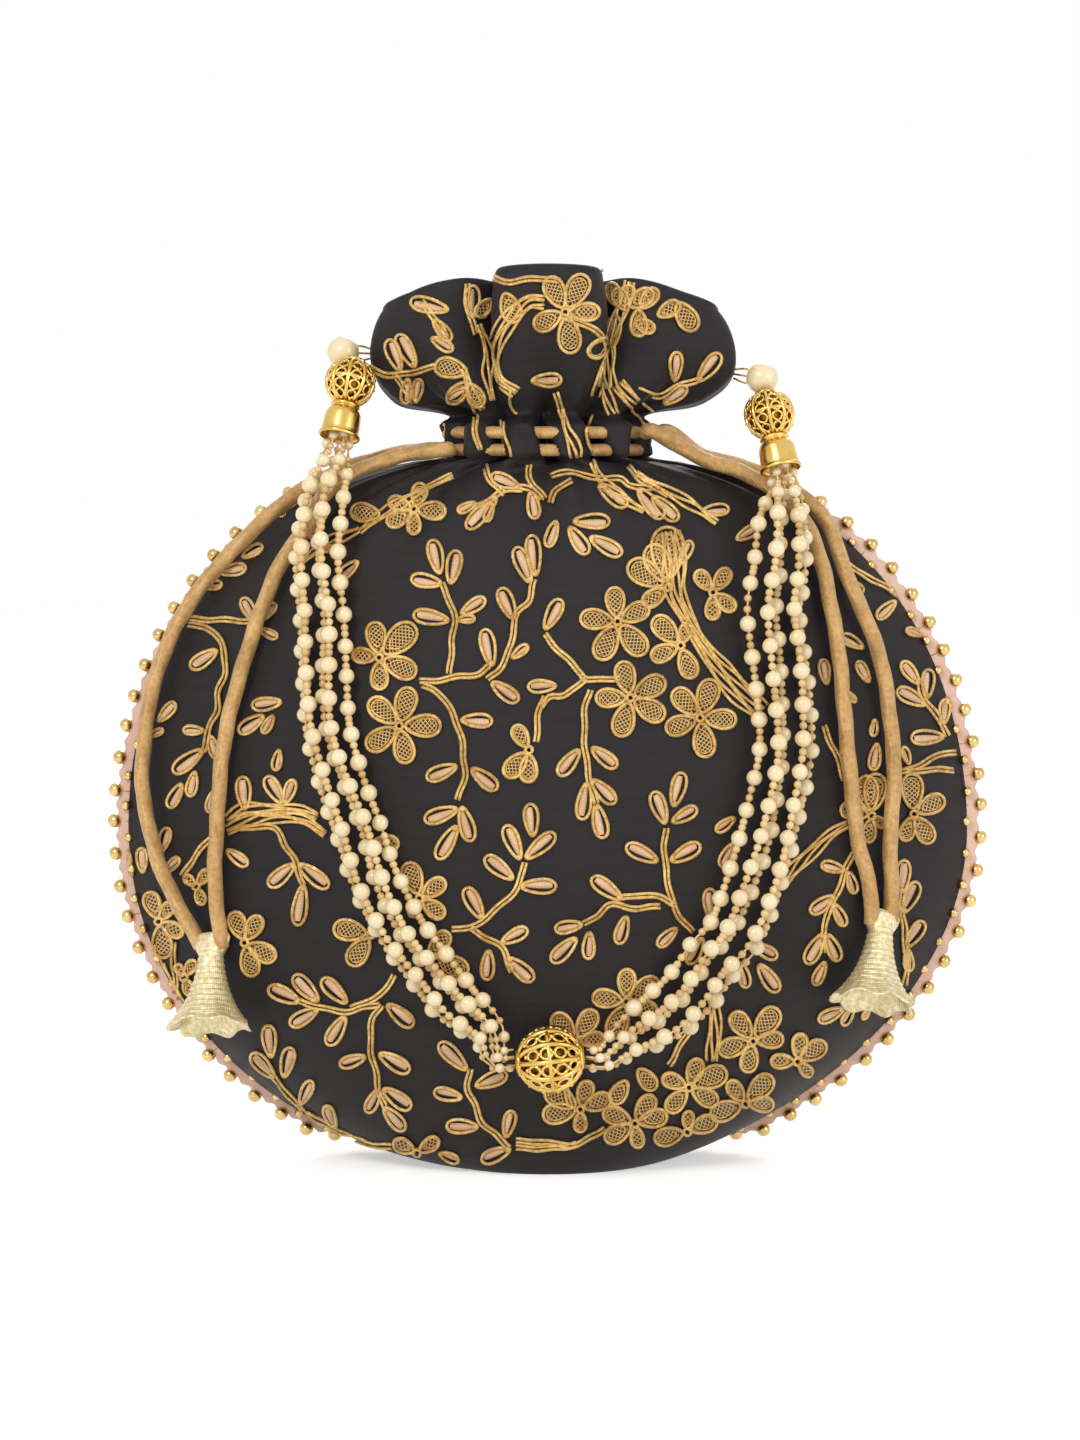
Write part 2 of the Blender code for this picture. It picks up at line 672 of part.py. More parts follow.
def handle(pearl_finish, gold_finish):
    """Two bundles of strands between the end caps and the centre ball."""
    made = []
    left_ball = Vector((-LEFT_BALL_SIDE, -PIVOT_FRONT, LEFT_BALL_HEIGHT))
    right_ball = Vector((RIGHT_BALL_SIDE, -PIVOT_FRONT, RIGHT_BALL_HEIGHT))
    sides = (("left", -1, left_ball, LEFT_PEARL_SHIFT, LEFT_PEARL_RISE, LEFT_BUNDLE,
              STRAND_SPREAD_LEFT),
             ("right", 1, right_ball, RIGHT_PEARL_SHIFT, RIGHT_PEARL_RISE, RIGHT_BUNDLE,
              STRAND_SPREAD_RIGHT))
    for label, side, centre, shift, rising, route, spread in sides:
        direction = Vector((side * CAP_SPLAY, -CAP_FORWARD, -1)).normalized()
        touching = 0.5 * (END_BALL + END_PEARL) + CLEARANCE
        behind = math.sqrt(touching ** 2 - shift ** 2 - rising ** 2)
        pearl = centre + Vector((side * shift, behind, rising))
        made.append(ball(f"end_pearl_{label}", pearl, END_PEARL, 10, 6, pearl_finish))
        made.append(ball(f"end_ball_{label}", centre, END_BALL, 12, 8, gold_finish, 0.07))
        made.append(end_cap(f"end_cap_{label}", centre, direction, gold_finish))
        middle, outs = bundle_path(centre, direction, route, side)
        layer = 0.5 * STRAND_LAYER
        places = ((-1, -layer), (0, -layer), (1, -layer), (-0.5, layer), (0.5, layer))
        for number, place in enumerate(places, 1):
            phase = 0.25 if number % 2 else -0.25
            made.append(strand(f"strand_{label}_{number}", middle, outs, place, spread, phase,
                               pearl_finish))
    centre, out = centre_ball_place()
    made.append(ball("centre_ball", centre, CENTRE_BALL, 16, 8, gold_finish, 0.07))
    pivot = bpy.data.objects.new("handle_pivot", None)
    bpy.context.scene.collection.objects.link(pivot)
    pivot.location = (0, -PIVOT_FRONT, PIVOT_HEIGHT)
    bpy.context.view_layer.update()
    for piece in made:
        piece.parent = pivot
        piece.matrix_parent_inverse = pivot.matrix_world.inverted()


def cord_curve(name, points, finish):
    """A round cord along points."""
    curve = bpy.data.curves.new(name, "CURVE")
    curve.dimensions = "3D"
    curve.bevel_depth = 0.5 * CORD
    curve.bevel_resolution = 2
    curve.use_fill_caps = True
    spline = curve.splines.new("POLY")
    spline.points.add(len(points) - 1)
    for spot, point in zip(spline.points, points):
        spot.co = (*point, 1)
    return add_object(name, curve, finish)


def neck_place(angle, height):
    """The middle of a cord that lies against the neck, with the way outward there."""
    way = Vector((math.cos(angle) / NECK_HALF_WIDTH, math.sin(angle) / NECK_FRONT, 0)).normalized()
    wall = Vector((NECK_HALF_WIDTH * math.cos(angle), NECK_FRONT * math.sin(angle), height))
    return wall + way * (0.5 * CORD + CLEARANCE), way


def neck_turn(name, height, finish):
    """One turn of drawcord round the gathered neck, its ends meeting at the side."""
    segments = 32
    sides = 6
    points = []
    for i in range(segments):
        centre, way = neck_place(2 * math.pi * i / segments, height)
        for j in range(sides):
            turn = 2 * math.pi * (j + 0.5) / sides
            points.append(centre + way * 0.5 * CORD * math.cos(turn)
                          + Vector((0, 0, 0.5 * CORD * math.sin(turn))))
    faces = grid_faces(segments, sides, 0, True)
    last = (segments - 1) * sides
    for j in range(sides):
        k = (j + 1) % sides
        faces.append((last + j, last + k, k, j))
    return mesh_object(name, points, faces, finish)


def bell(name, top, direction, finish):
    """A ribbed ribbon bell, open below."""
    profile = [(0, 0), (0.5 * BELL_TOP - BELL_EDGE, 0), (0.5 * BELL_TOP, BELL_EDGE)]
    steps = 2 * BELL_RIBS
    for i in range(1, steps + 1):
        share = i / steps
        flare = 0.25 * share + 0.75 * share ** 2.6
        radius = 0.5 * BELL_TOP + 0.5 * (BELL_LIP - BELL_TOP) * flare
        rib = BELL_RIB_DEPTH if i % 2 else 0
        profile.append((radius + rib, BELL_HEIGHT * share))
    for share in (1.0, 0.8, 0.5, 0.2):
        flare = 0.25 * share + 0.75 * share ** 2.6
        radius = 0.5 * BELL_TOP + 0.5 * (BELL_LIP - BELL_TOP) * flare - BELL_WALL
        profile.append((radius, BELL_HEIGHT * share))
    profile.append((0, 0.2 * BELL_HEIGHT))
    return turned(name, profile, 12, finish, top, direction)


def drawcord(label, turn_height, routes, bell_way, cord_finish, bell_finish):
    """A cord that circles the neck and hangs in two strands to a bell."""
    neck_turn(f"drawcord_turn_{label}", turn_height, cord_finish)
    side = -1 if label == "left" else 1
    down = Vector(bell_way).normalized()
    ends = []
    for part, turn, route in zip(("outer", "inner"), EXIT_ANGLES, routes):
        centre, way = neck_place(math.radians(270 + side * turn), turn_height)
        spots = [centre + way * (0.5 * CORD + CORD_SLACK), centre + way * (CORD + EXIT_RUN)]
        lift = 0.5 * CORD + CORD_SLACK
        spots += [on_route(degrees, height, lift)[0] for degrees, height in route]
        path = smooth_path(spots, CORD_POINT_SPACING)
        cord_curve(f"drawcord_{label}_{part}", path, cord_finish)
        ends.append(path[-1])
    middle = 0.5 * (ends[0] + ends[1])
    reach = max(end.dot(down) for end in ends) - middle.dot(down) + CORD_END_SLANT
    bell(f"bell_{label}", middle + down * (reach + CLEARANCE), down, bell_finish)


def main():
    for old in list(bpy.data.objects):
        bpy.data.objects.remove(old)
    fabric = material("black_satin", (0.042, 0.032, 0.034), 0.6)
    lining_cloth = material("blush_lining", (0.68, 0.46, 0.36), 0.7)
    rim = material("gold_rim_beads", (0.6, 0.42, 0.16), 0.3, 0.9)
    pearl = material("cream_pearl", (0.87, 0.74, 0.5), 0.25)
    gold = material("gold_filigree", (0.8, 0.5, 0.08), 0.28, 1.0)
    satin = material("gold_satin_cord", (0.51, 0.28, 0.09), 0.45)
    zari = material("pale_gold_ribbon", (0.75, 0.68, 0.26), 0.35, 0.6)
    back_panel(fabric)
    front_panel(fabric)
    lining(lining_cloth)
    rim_trim(rim)
    handle(pearl, gold)
    low_turn = NECK_HEIGHT + 0.5 * CORD + 1.5 * CLEARANCE
    high_turn = low_turn + CORD + CLEARANCE
    drawcord("left", low_turn, (LEFT_OUTER, LEFT_INNER), (0, -0.38, -1), satin, zari)
    drawcord("right", high_turn, (RIGHT_OUTER, RIGHT_INNER), (-0.14, -0.42, -1), satin, zari)


main()
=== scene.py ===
"""A potli bag: an embroidered drawstring pouch with a beaded rim and a pearl handle.

Lengths named at the top are metres. The pouch stands on the floor at the origin, its front
faces -Y, and a place on it is an angle round it (270 degrees is the front) and a height.
"""

import json
import math

import bmesh
import bpy
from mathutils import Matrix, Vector, noise
from mathutils.bvhtree import BVHTree

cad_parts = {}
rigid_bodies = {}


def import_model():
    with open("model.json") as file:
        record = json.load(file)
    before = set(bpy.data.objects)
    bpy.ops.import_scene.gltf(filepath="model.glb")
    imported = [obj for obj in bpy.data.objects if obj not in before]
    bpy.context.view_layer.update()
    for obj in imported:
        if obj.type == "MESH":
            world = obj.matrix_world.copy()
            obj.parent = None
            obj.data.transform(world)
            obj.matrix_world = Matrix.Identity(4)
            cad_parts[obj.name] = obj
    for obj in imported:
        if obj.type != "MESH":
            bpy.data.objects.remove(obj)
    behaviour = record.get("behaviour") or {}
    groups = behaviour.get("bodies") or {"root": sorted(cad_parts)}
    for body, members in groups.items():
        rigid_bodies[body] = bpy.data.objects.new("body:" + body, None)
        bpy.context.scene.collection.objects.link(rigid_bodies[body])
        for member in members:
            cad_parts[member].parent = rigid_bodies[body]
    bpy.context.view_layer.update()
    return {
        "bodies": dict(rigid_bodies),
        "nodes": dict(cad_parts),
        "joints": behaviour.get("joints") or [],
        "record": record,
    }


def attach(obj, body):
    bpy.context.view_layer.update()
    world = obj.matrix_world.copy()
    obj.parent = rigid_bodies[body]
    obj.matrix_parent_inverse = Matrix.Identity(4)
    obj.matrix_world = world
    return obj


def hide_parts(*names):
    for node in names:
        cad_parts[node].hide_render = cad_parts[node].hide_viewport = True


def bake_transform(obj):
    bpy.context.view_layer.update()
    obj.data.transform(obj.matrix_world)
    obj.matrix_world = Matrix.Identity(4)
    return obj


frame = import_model()

MM = 0.001

# Pouch outline, gathers and ruffle, as in the solids
BODY_HALF_WIDTH = 105.5 * MM
WIDEST_HEIGHT = 84 * MM
NECK_HEIGHT = 176 * MM
FRONT_BULGE = 41 * MM
BACK_BULGE = 32 * MM
BASE_HALF_WIDTH = 31 * MM
BASE_FRONT = 21 * MM
BASE_BACK = 14 * MM
SHOULDER_ROUNDNESS = 0.48
LEFT_SAG = 0.62
RIGHT_SAG = 0.76
DEPTH_ROUNDNESS = 1.1
EDGE_SHARPNESS = 0.5
SEAM_SETBACK = 12 * MM
SETBACK_HEIGHT = 40 * MM
NECK_HALF_WIDTH = 22.5 * MM
NECK_FRONT = 16 * MM
NECK_BACK = 15 * MM
TIE_BAND = 10 * MM
BAND_TOP = NECK_HEIGHT + TIE_BAND
PLEATS = 12
PLEAT_DEPTH = 5 * MM
PLEAT_REACH = 30 * MM
SEAM_FLATNESS = 4
CENTRE_PLEAT_DEPTH = 3 * MM
CENTRE_PLEAT_REACH = 90 * MM
CENTRE_PLEAT_WIDTH = 7.5
RUFFLE_LEFT = 46 * MM
RUFFLE_RIGHT = 47.5 * MM
RUFFLE_FRONT = 31 * MM
RUFFLE_BACK = 27 * MM
RISE_FRONT = 36 * MM
RISE_SIDE = 25 * MM
RISE_BACK = 31 * MM
RUFFLE_FULLEST = 0.72
RUFFLE_CURL = 0.12
RUFFLE_TOP = BAND_TOP + RISE_FRONT
LOBE_VALLEYS = (30, 90, 150, 240, 300)
LOBE_DEPTH = 0.36
LOBE_START = 0.6
LOBE_ROUNDNESS = 0.6

# Cloth
PANEL_THICKNESS = 1.6 * MM
LINING_DEPTH = 2.3 * MM
HEM_ROLL = 1.7 * MM
HEM_DEPTH = 9 * MM
CASING_SWELL = 5.6 * MM
CASING_GROOVES = 0.7 * MM
CASING_FILL = 0.5
CASING_SLANT = 16
CASING_SIDES = 0.35
HIDDEN_CORD = 3 * MM
SHOULDER_FOLDS = 15
SHOULDER_DEPTH = 2.6 * MM
SHOULDER_REACH = 17 * MM
CASING_LOW = 174.5 * MM
CASING_HIGH = 187.5 * MM
FINE_GATHERS = 31
FINE_DEPTH = 1.3 * MM
FINE_REACH = 13 * MM
SOFT_WAVES = 0.9 * MM
RUFFLE_WAVES = 2.6 * MM
VALLEY_WIDTH = 5.5
VALLEY_DEPTH = 2.4 * MM
VALLEY_DROP = 2.2 * MM
LOBE_DROOP = 4.5 * MM
LOBE_SWELL = 1.2 * MM
COLUMNS = 360

# Drawcords and bells: places are degrees round the pouch and height in mm
CORD = 4 * MM
CORD_SLACK = 0.8 * MM
CORD_CLEARANCE = 0.3 * MM
EXIT_ANGLES = (82, 62)
EXIT_RUN = 2 * MM
LOW_TURN = NECK_HEIGHT + 2.45 * MM
HIGH_TURN = LOW_TURN + 4.3 * MM
LEFT_OUTER = ((193, 174.5), (192, 171), (193, 166), (196, 160), (196, 151), (194, 141), (194, 130),
              (196, 116), (199, 101), (201, 92), (206, 77), (210, 67), (213.5, 57))
LEFT_INNER = ((206, 174), (206, 170), (211, 165), (217, 160), (218, 151), (220, 139), (221, 127),
              (221, 115), (221, 103), (221, 88), (220, 73), (218.5, 57))
RIGHT_OUTER = ((347, 174.5), (348, 171), (347, 166), (340, 159), (332, 152), (328, 144), (327, 136),
               (326, 125), (324, 110), (323, 98), (321.5, 84), (322.5, 73), (324.5, 63))
RIGHT_INNER = ((334, 174), (335, 170), (334, 165), (329, 158), (324, 150), (320, 141), (317, 129),
               (315, 117), (314, 98), (315, 83), (318, 72), (320, 63))
LEFT_BELL_WAY = Vector((0, -0.38, -1))
RIGHT_BELL_WAY = Vector((-0.14, -0.42, -1))
BELL_HEIGHT = 19 * MM
BELL_TOP = 6 * MM
BELL_LIP = 20.5 * MM

# Handle
PIVOT_FRONT = 11.5 * MM
LEFT_BALL = Vector((-48.5 * MM, -PIVOT_FRONT, 195 * MM))
RIGHT_BALL = Vector((54.5 * MM, -PIVOT_FRONT, 187 * MM))
END_BALL = 12.5 * MM
END_PEARL = 8 * MM
CAP_SPLAY = 0.2
CAP_FORWARD = 0.35
CAP_LENGTH = 8 * MM
CAP_NECK = 6.4 * MM
CAP_MOUTH = 10.1 * MM
CAP_CUP_DEPTH = 4.5 * MM
CENTRE_BALL = 16.5 * MM
CENTRE_BALL_HEIGHT = 34 * MM
CENTRE_BALL_SIDE = 0.5 * MM
CAP_SHOULDER = 8.9 * MM
CAP_SHOULDER_DROP = 2.6 * MM
LEFT_PEARL_SHIFT = 2.1 * MM
LEFT_PEARL_RISE = 7.5 * MM
RIGHT_PEARL_SHIFT = -1.5 * MM
RIGHT_PEARL_RISE = 9 * MM
CLEARANCE = 0.3 * MM
PEARL = 4.1 * MM
PEARL_PITCH = 7.6 * MM
SEED = 2 * MM
STRAND_SPREAD_LEFT = 5.6 * MM
STRAND_SPREAD_RIGHT = 6.8 * MM
STRAND_LAYER = 4 * MM
BUNDLE_WAIST = 0.46
WAIST_SPREAD = 2.25 * MM
BUNDLE_FLARE = 26 * MM
END_RUN = 5 * MM
LEFT_BUNDLE = ((221, 162, 10.5), (225, 157, 9.8), (229, 150, 8.8), (232, 143, 6.6), (234, 137, 5),
               (237, 123, 4.8), (239, 111, 4.8), (242, 99, 4.8), (245, 87, 4.8), (247, 75, 4.8),
               (250, 63, 4.8), (254, 53, 4.8), (257, 46, 5), (261, 40, 5.6))
RIGHT_BUNDLE = ((315, 155, 9), (310.5, 147, 7), (307, 139, 5), (305, 127, 4.8), (304, 117, 4.8),
                (303, 105, 4.8), (301, 93, 4.8), (299, 80, 4.8), (296, 63, 4.8), (293, 56, 4.8),
                (291, 49, 4.8), (288, 43, 5), (283, 38, 5.6))

# Rim
RIM_TOP = 171 * MM
SEAM_FOOT = 6 * MM
RIM_BEAD_PITCH = 7.8 * MM
LARGE_RIM_BEAD = 3.6 * MM
SMALL_RIM_BEAD = 2.5 * MM
RIM_MAX_DROOP = 0.55
LARGE_BEAD_REACH = 2.9 * MM
SMALL_BEAD_REACH = 1.8 * MM
SMALL_BEAD_INSET = 0.5 * MM
TAPE_REACH = 2.3 * MM
TAPE_COVER = 3.8 * MM
RIM_SHARES = (1.0, 0.97, 0.935, 0.877, 0.795, 0.7, 0.585, 0.49, 0.4, 0.305, 0.22, 0.16, 0.105)

# Picture: the camera stands well back and looks a little down on the front
CAMERA_DISTANCE = 1.05
CAMERA_ELEVATION = math.radians(4)
CAMERA_TARGET = Vector((-1.9 * MM, 0, 111 * MM))
PICTURE_HEIGHT = 0.36
WORLD_LIGHT = 0.6
FLOOR_GLOW = 0.48

# Embroidery, as it lies in the picture plane: mm from the camera's middle line and above the floor.
# A leaf or petal is base x, z and tip x, z; a flower is its middle and its petals' tips; a stem is
# how many cords run side by side and the points they follow.
CORD_RADIUS = 0.44 * MM
STEM_SPREAD = 0.62
SHOWN_SHARE = 0.6
MAX_STEP = 2.6 * MM
LEAF_WIDTH = 0.56
LEAF_MAX_WIDTH = 4.6
PETAL_WIDTH = 0.74
LEAVES = (
    (-25, 147.5, -26.8, 155.8), (-22.3, 145, -20.8, 153.2), (-24.6, 145, -32, 146.3),
    (-22.8, 135.8, -31.5, 137.3), (-19.6, 137.5, -13.8, 141.2), (-20.5, 136, -16.3, 136.3),
    (-12, 124.5, -13.8, 133.6), (-7, 126.5, -3.2, 129.5), (-6.6, 136.2, -9.8, 143.8),
    (-2.6, 145.3, -6, 154), (-1.2, 147, -2.2, 157), (-5.2, 168.9, -12.2, 171.8),
    (1.6, 172.8, -6.6, 173.8), (-2.4, 167.8, -1.3, 161.2), (-11, 166.5, -18.2, 158.8),
    (-12, 165, -13.5, 160.5), (-16, 165, -20.4, 163), (-12, 120.3, -5.6, 115.7),
    (-19.6, 111, -12, 110.7), (-20.8, 99.5, -28.2, 96.5), (-17, 98.8, -10.8, 93.8),
    (-20.6, 88.8, -28.7, 86), (-19.6, 89.3, -17.2, 80.8), (-20.8, 84.5, -25.5, 76.4),
    (4, 119.5, -3, 119.3), (-1.8, 82, -2.5, 90), (-5, 76.3, -8.5, 84.6), (-3.5, 76.5, 3.6, 82.6),
    (-6.8, 71.3, -13.6, 76.8), (-4.8, 69.5, 4, 69.5), (-14.5, 61.5, -18.5, 69),
    (12.5, 172.5, 11.2, 179.4), (15, 173, 20.6, 176.3), (14.8, 169.5, 21.5, 164.3),
    (24.5, 168.5, 30.5, 161.3), (28, 166.5, 34.2, 160.8), (23.5, 176.5, 19.5, 182),
    (8.5, 160.5, 17.3, 160.5), (12.5, 156.5, 20.3, 152.3), (7.5, 159, 11.8, 152.5),
    (4.2, 160.5, 1.8, 154.2), (1.2, 133.6, 5.2, 141), (35, 150, 37.5, 155.5), (9.8, 103.5, 4.8, 97.3),
    (13, 104, 19, 99.3), (11.8, 95.3, 10.4, 86.2), (13, 96, 18.6, 90.3), (14, 89.8, 15.8, 81.6),
    (33.3, 89.5, 35.4, 97.8), (31.2, 85.2, 28.4, 93), (33, 85.5, 39, 89), (29.3, 75.8, 21.6, 79.6),
    (32.6, 75.8, 39.8, 79.8), (20.3, 66.3, 13, 71.6), (43, 61, 42.2, 68.8), (48.5, 86.5, 44, 83.3),
    (48, 80, 45.2, 74.5), (-60, 40.7, -67.6, 44.2), (-55.3, 40.9, -61.3, 47.2),
    (-48.2, 40.4, -54.2, 46.4), (-55.5, 38.8, -62.2, 35), (-48.6, 37, -52.8, 30),
    (-38, 40, -31.7, 34.7), (-43.5, 27, -49.8, 25), (-40, 27.8, -32.6, 23.4), (-40, 19, -43, 13.2),
    (-39, 19, -32.3, 14.2), (-38.8, 14.3, -33.8, 8.8), (-66.3, 22, -71.8, 27.8),
    (-63.8, 22, -62.2, 29.3), (-67, 27, -67.8, 34.8), (-61.5, 15.4, -69, 17.9), (-59.6, 15.4, -57, 21),
    (-51, 9.5, -53.4, 14.8), (-56.5, 10.5, -62, 13), (-25, 3, -20.3, 1), (-12.8, 53.5, -13.3, 46.2),
    (-9.5, 55.5, -3.2, 58.8), (-8, 51.5, -1.8, 46), (-18.3, 23.8, -25, 30.4),
    (-19.5, 16.8, -26.3, 18.3), (-15.5, 9.5, -23.2, 9.8), (-16, 19.7, -8.3, 22.8), (-8.5, 7, -7, 13.5),
    (-7.5, 4, -14.4, 1.2), (10.5, 60, 3.8, 58.8), (9, 56.5, 3, 50.7), (12.3, 58, 12, 51.4),
    (21.5, 62, 19.5, 55.2), (34, 59, 29.5, 54.6), (40.5, 56.5, 37, 50.2), (53, 55, 59, 51.8),
    (50, 50.5, 51.5, 44.3), (54.5, 50, 59.3, 43.3), (-74, 151.5, -69.2, 154.3),
    (-79.5, 147.5, -73.3, 149), (-84, 144, -79.3, 144.8), (-71, 135.5, -74, 141.3),
    (-69.5, 136, -66, 140), (-69.7, 133.5, -65.5, 131.6), (-80.5, 128.3, -87, 124),
    (-95, 110.7, -91, 115.2), (-97, 107, -94, 108.5), (-83.8, 108.3, -88.8, 108.5),
    (-82.3, 107, -80.5, 101.5), (-84, 103.5, -91.3, 98), (-64.5, 115.5, -71.7, 114.5),
    (-68.8, 112, -75, 108), (-66.5, 112, -69, 107.8), (-65, 103.5, -66, 98.5), (-86, 98, -87.3, 92),
    (-89.3, 95, -92.5, 89.2), (-81.5, 93, -82.5, 88), (-73.5, 88.7, -74.2, 96.8),
    (-64.2, 90.2, -68.2, 96.8), (-63.5, 90.2, -61.5, 96), (-61.3, 75, -67.5, 69.6),
    (-60, 75, -52.8, 69.3), (-59, 69.8, -60.5, 59.8), (-78, 78.5, -73, 74.8), (-103, 72, -103.3, 78.3),
    (-99, 73, -99.3, 79), (-94.5, 78, -92.8, 84), (-93.5, 73, -90, 76.5), (-82, 26.5, -77, 25.5),
    (76, 145.5, 80.5, 143), (88.5, 140.5, 84, 136.3), (95, 132, 91.3, 133.5), (80.5, 129, 75.2, 132),
    (82, 120.5, 79.2, 125.5), (76.5, 118, 78.5, 115.5), (94.3, 120, 90.3, 125.4),
    (96.5, 116.5, 96.8, 123.5), (96, 114.8, 89, 118.5), (100.5, 106.8, 92.5, 106.5),
    (100.5, 110, 101, 116), (84, 105, 83, 98.5), (83.5, 111, 83, 107), (92, 100, 90.5, 104.2),
    (71.5, 120, 70.5, 126), (76, 73.5, 70.2, 75), (77, 73, 78.5, 67.8), (73.3, 67, 67.5, 63),
    (73.3, 65, 76, 59.7), (70.5, 57.5, 66.5, 50.3), (71.5, 57.5, 74.5, 51), (71, 50.5, 68.5, 45),
    (90, 68, 90.8, 76), (90.5, 63, 94, 70.5), (90, 63, 87, 66.5), (91.3, 54.5, 95.5, 60.7),
    (91.5, 54, 92, 48.5), (75.5, 39, 69.5, 36), (78, 39.5, 75.5, 35), (82, 39, 80.5, 36.5),
    (-38, 198.8, -41.8, 207), (-31, 199.5, -35.2, 207.3), (-33, 196.5, -33.5, 190.5),
    (-23.5, 192.5, -30, 186.5), (-18, 194, -23, 191), (-23, 213.5, -32, 215.5),
    (-26.5, 211, -22.5, 206), (-17, 211.5, -17, 219.5), (-2.2, 196, 5.5, 196.3), (18, 204, 19, 212),
    (16, 200, 14, 195), (33.5, 196, 34, 203), (39.5, 196, 44.7, 202.5), (34.5, 191.5, 41.5, 188.5),
    (34, 181, 43, 183),
    (-34.8, 198.5, -37.6, 206), (-31, 190.8, -30, 196.5), (31, 190.5, 36.5, 194.5),
    (-27, 206.5, -22, 203.5), (-52, 153, -58.5, 157.5), (-45.5, 150.5, -50, 146.5),
    (40.5, 163, 47, 163.5), (49, 156, 54.5, 159), (-24.5, 171, -27, 176.5),
)
FLOWERS = (
    (-31.5, 163.4, ((-29.4, 169.7), (-23.5, 162.8), (-31.3, 157.2), (-38, 159.8), (-37.6, 165.6))),
    (-40, 126.5, ((-41.3, 135.3), (-31.3, 134.5), (-31, 122.5), (-40, 118.6), (-46.8, 127.3))),
    (-35, 109.5, ((-42.3, 116), (-32.5, 119), (-24.8, 109.6), (-33.2, 100.3), (-43, 104))),
    (-2.8, 103.5, ((-6.3, 109.5), (-8.5, 97), (-3, 95.5))),
    (-30, 66.5, ((-33, 75.3), (-23.8, 71), (-24, 62), (-32, 62))),
    (-42, 57.5, ((-51.3, 59.3), (-47.3, 50))),
    (-28, 51.5, ((-23, 58), (-18, 48))),
    (-73.5, 55.5, ((-69.8, 62), (-66, 51.5), (-71.5, 47.2), (-76.5, 63))),
    (-94.8, 60.8, ((-97.5, 68), (-91.5, 65.5), (-99.3, 59), (-89, 57.5), (-93.5, 51.8))),
    (-85.5, 69.5, ((-88.5, 72), (-84, 65), (-82.5, 73.5))),
    (-88.5, 47, ((-86, 51), (-87, 42.5), (-90.5, 50))),
    (-30.5, 3.3, ((-36.3, 6), (-25.3, 6.5))),
    (19.3, 135.5, ((18.4, 144), (27, 139.3), (26, 127.5), (14.7, 126.2), (10.2, 136.5))),
    (22.5, 116.5, ((20.5, 125.5), (31, 121), (30.8, 111.5), (19.8, 107), (14, 116.5))),
    (35, 129.5, ((28.5, 136.5), (27.8, 126.5), (38, 121.5), (37, 135))),
    (32, 144, ((25.8, 139.8), (22.2, 150), (27.5, 154.5), (31.5, 159))),
    (43, 142.7, ((47, 148.5), (39, 148), (48.5, 138.5), (43, 136))),
    (39.8, 111.5, ((33.5, 118.5), (43, 121), (48.8, 111), (41.5, 101.8), (31.5, 108.5))),
    (21.5, 40.8, ((21.7, 48.8), (29.5, 46), (13.2, 42), (18, 31.8), (29, 38))),
    (9, 31, ((13.5, 38.5), (3.5, 37.5), (16, 31.5))),
    (10, 14, ((0.8, 12.3), (10, 8.3), (17.5, 17), (1.5, 19), (12, 21))),
    (23.5, 10.5, ((28, 17.3), (15.8, 13.5), (16.3, 6.3), (24.5, 4.5), (31.5, 12.5))),
    (37, 19.5, ((30.5, 22), (39.5, 26.5), (46.3, 23.5), (44, 15.5), (31.8, 13.5))),
    (53, 31, ((48, 38), (59, 39), (60.5, 31.5), (51.5, 23.3), (44.6, 28.5))),
    (36.5, 8.5, ((37, 13.5), (43.8, 11.5), (39.5, 3.5), (28.5, 6.5), (30.5, 1.5))),
    (51, 15.5, ((47, 21), (57.5, 22.3), (58, 15.3), (42.5, 12.5), (50, 7))),
    (64, 26, ((65, 32.8), (71, 30.5), (57.5, 26), (67.5, 22.5))),
    (93, 87.5, ((100.5, 91.5), (97.5, 80.5), (92.5, 97.5), (90.5, 81))),
    (82.5, 87, ((81, 97), (84, 97.5), (86, 84.5), (81.5, 80.5), (75, 89))),
    (6.5, 213, ((2, 221.5), (11, 222), (-1.5, 209.5), (8, 203), (14.5, 213))),
)
PETALS = (
    (-40, 162, -47, 163), (-42, 80, -35.3, 80.2), (-18.5, 198, -26, 200), (-9.5, 218, -14.5, 222),
    (-8.5, 217.5, -6, 210.5), (20, 214.5, 17.5, 220), (20.7, 214.5, 22.8, 219.5),
    (24.6, 213.5, 25, 207), (25.3, 214, 29, 218.5), (29.5, 212, 34.5, 215), (34, 215, 38.5, 208.5),
    (16.5, 206.5, 12.5, 202), (24.5, 24, 28.5, 19), (21.5, 21, 18, 15.5),
    (-18.3, 195.4, -22.4, 190.9), (-18, 195, -14.8, 189.6), (22.1, 213.5, 18.9, 218.6),
    (22.4, 214.4, 28, 218), (24, 210.6, 28.5, 208.4), (-12.5, 216, -16, 212),
)
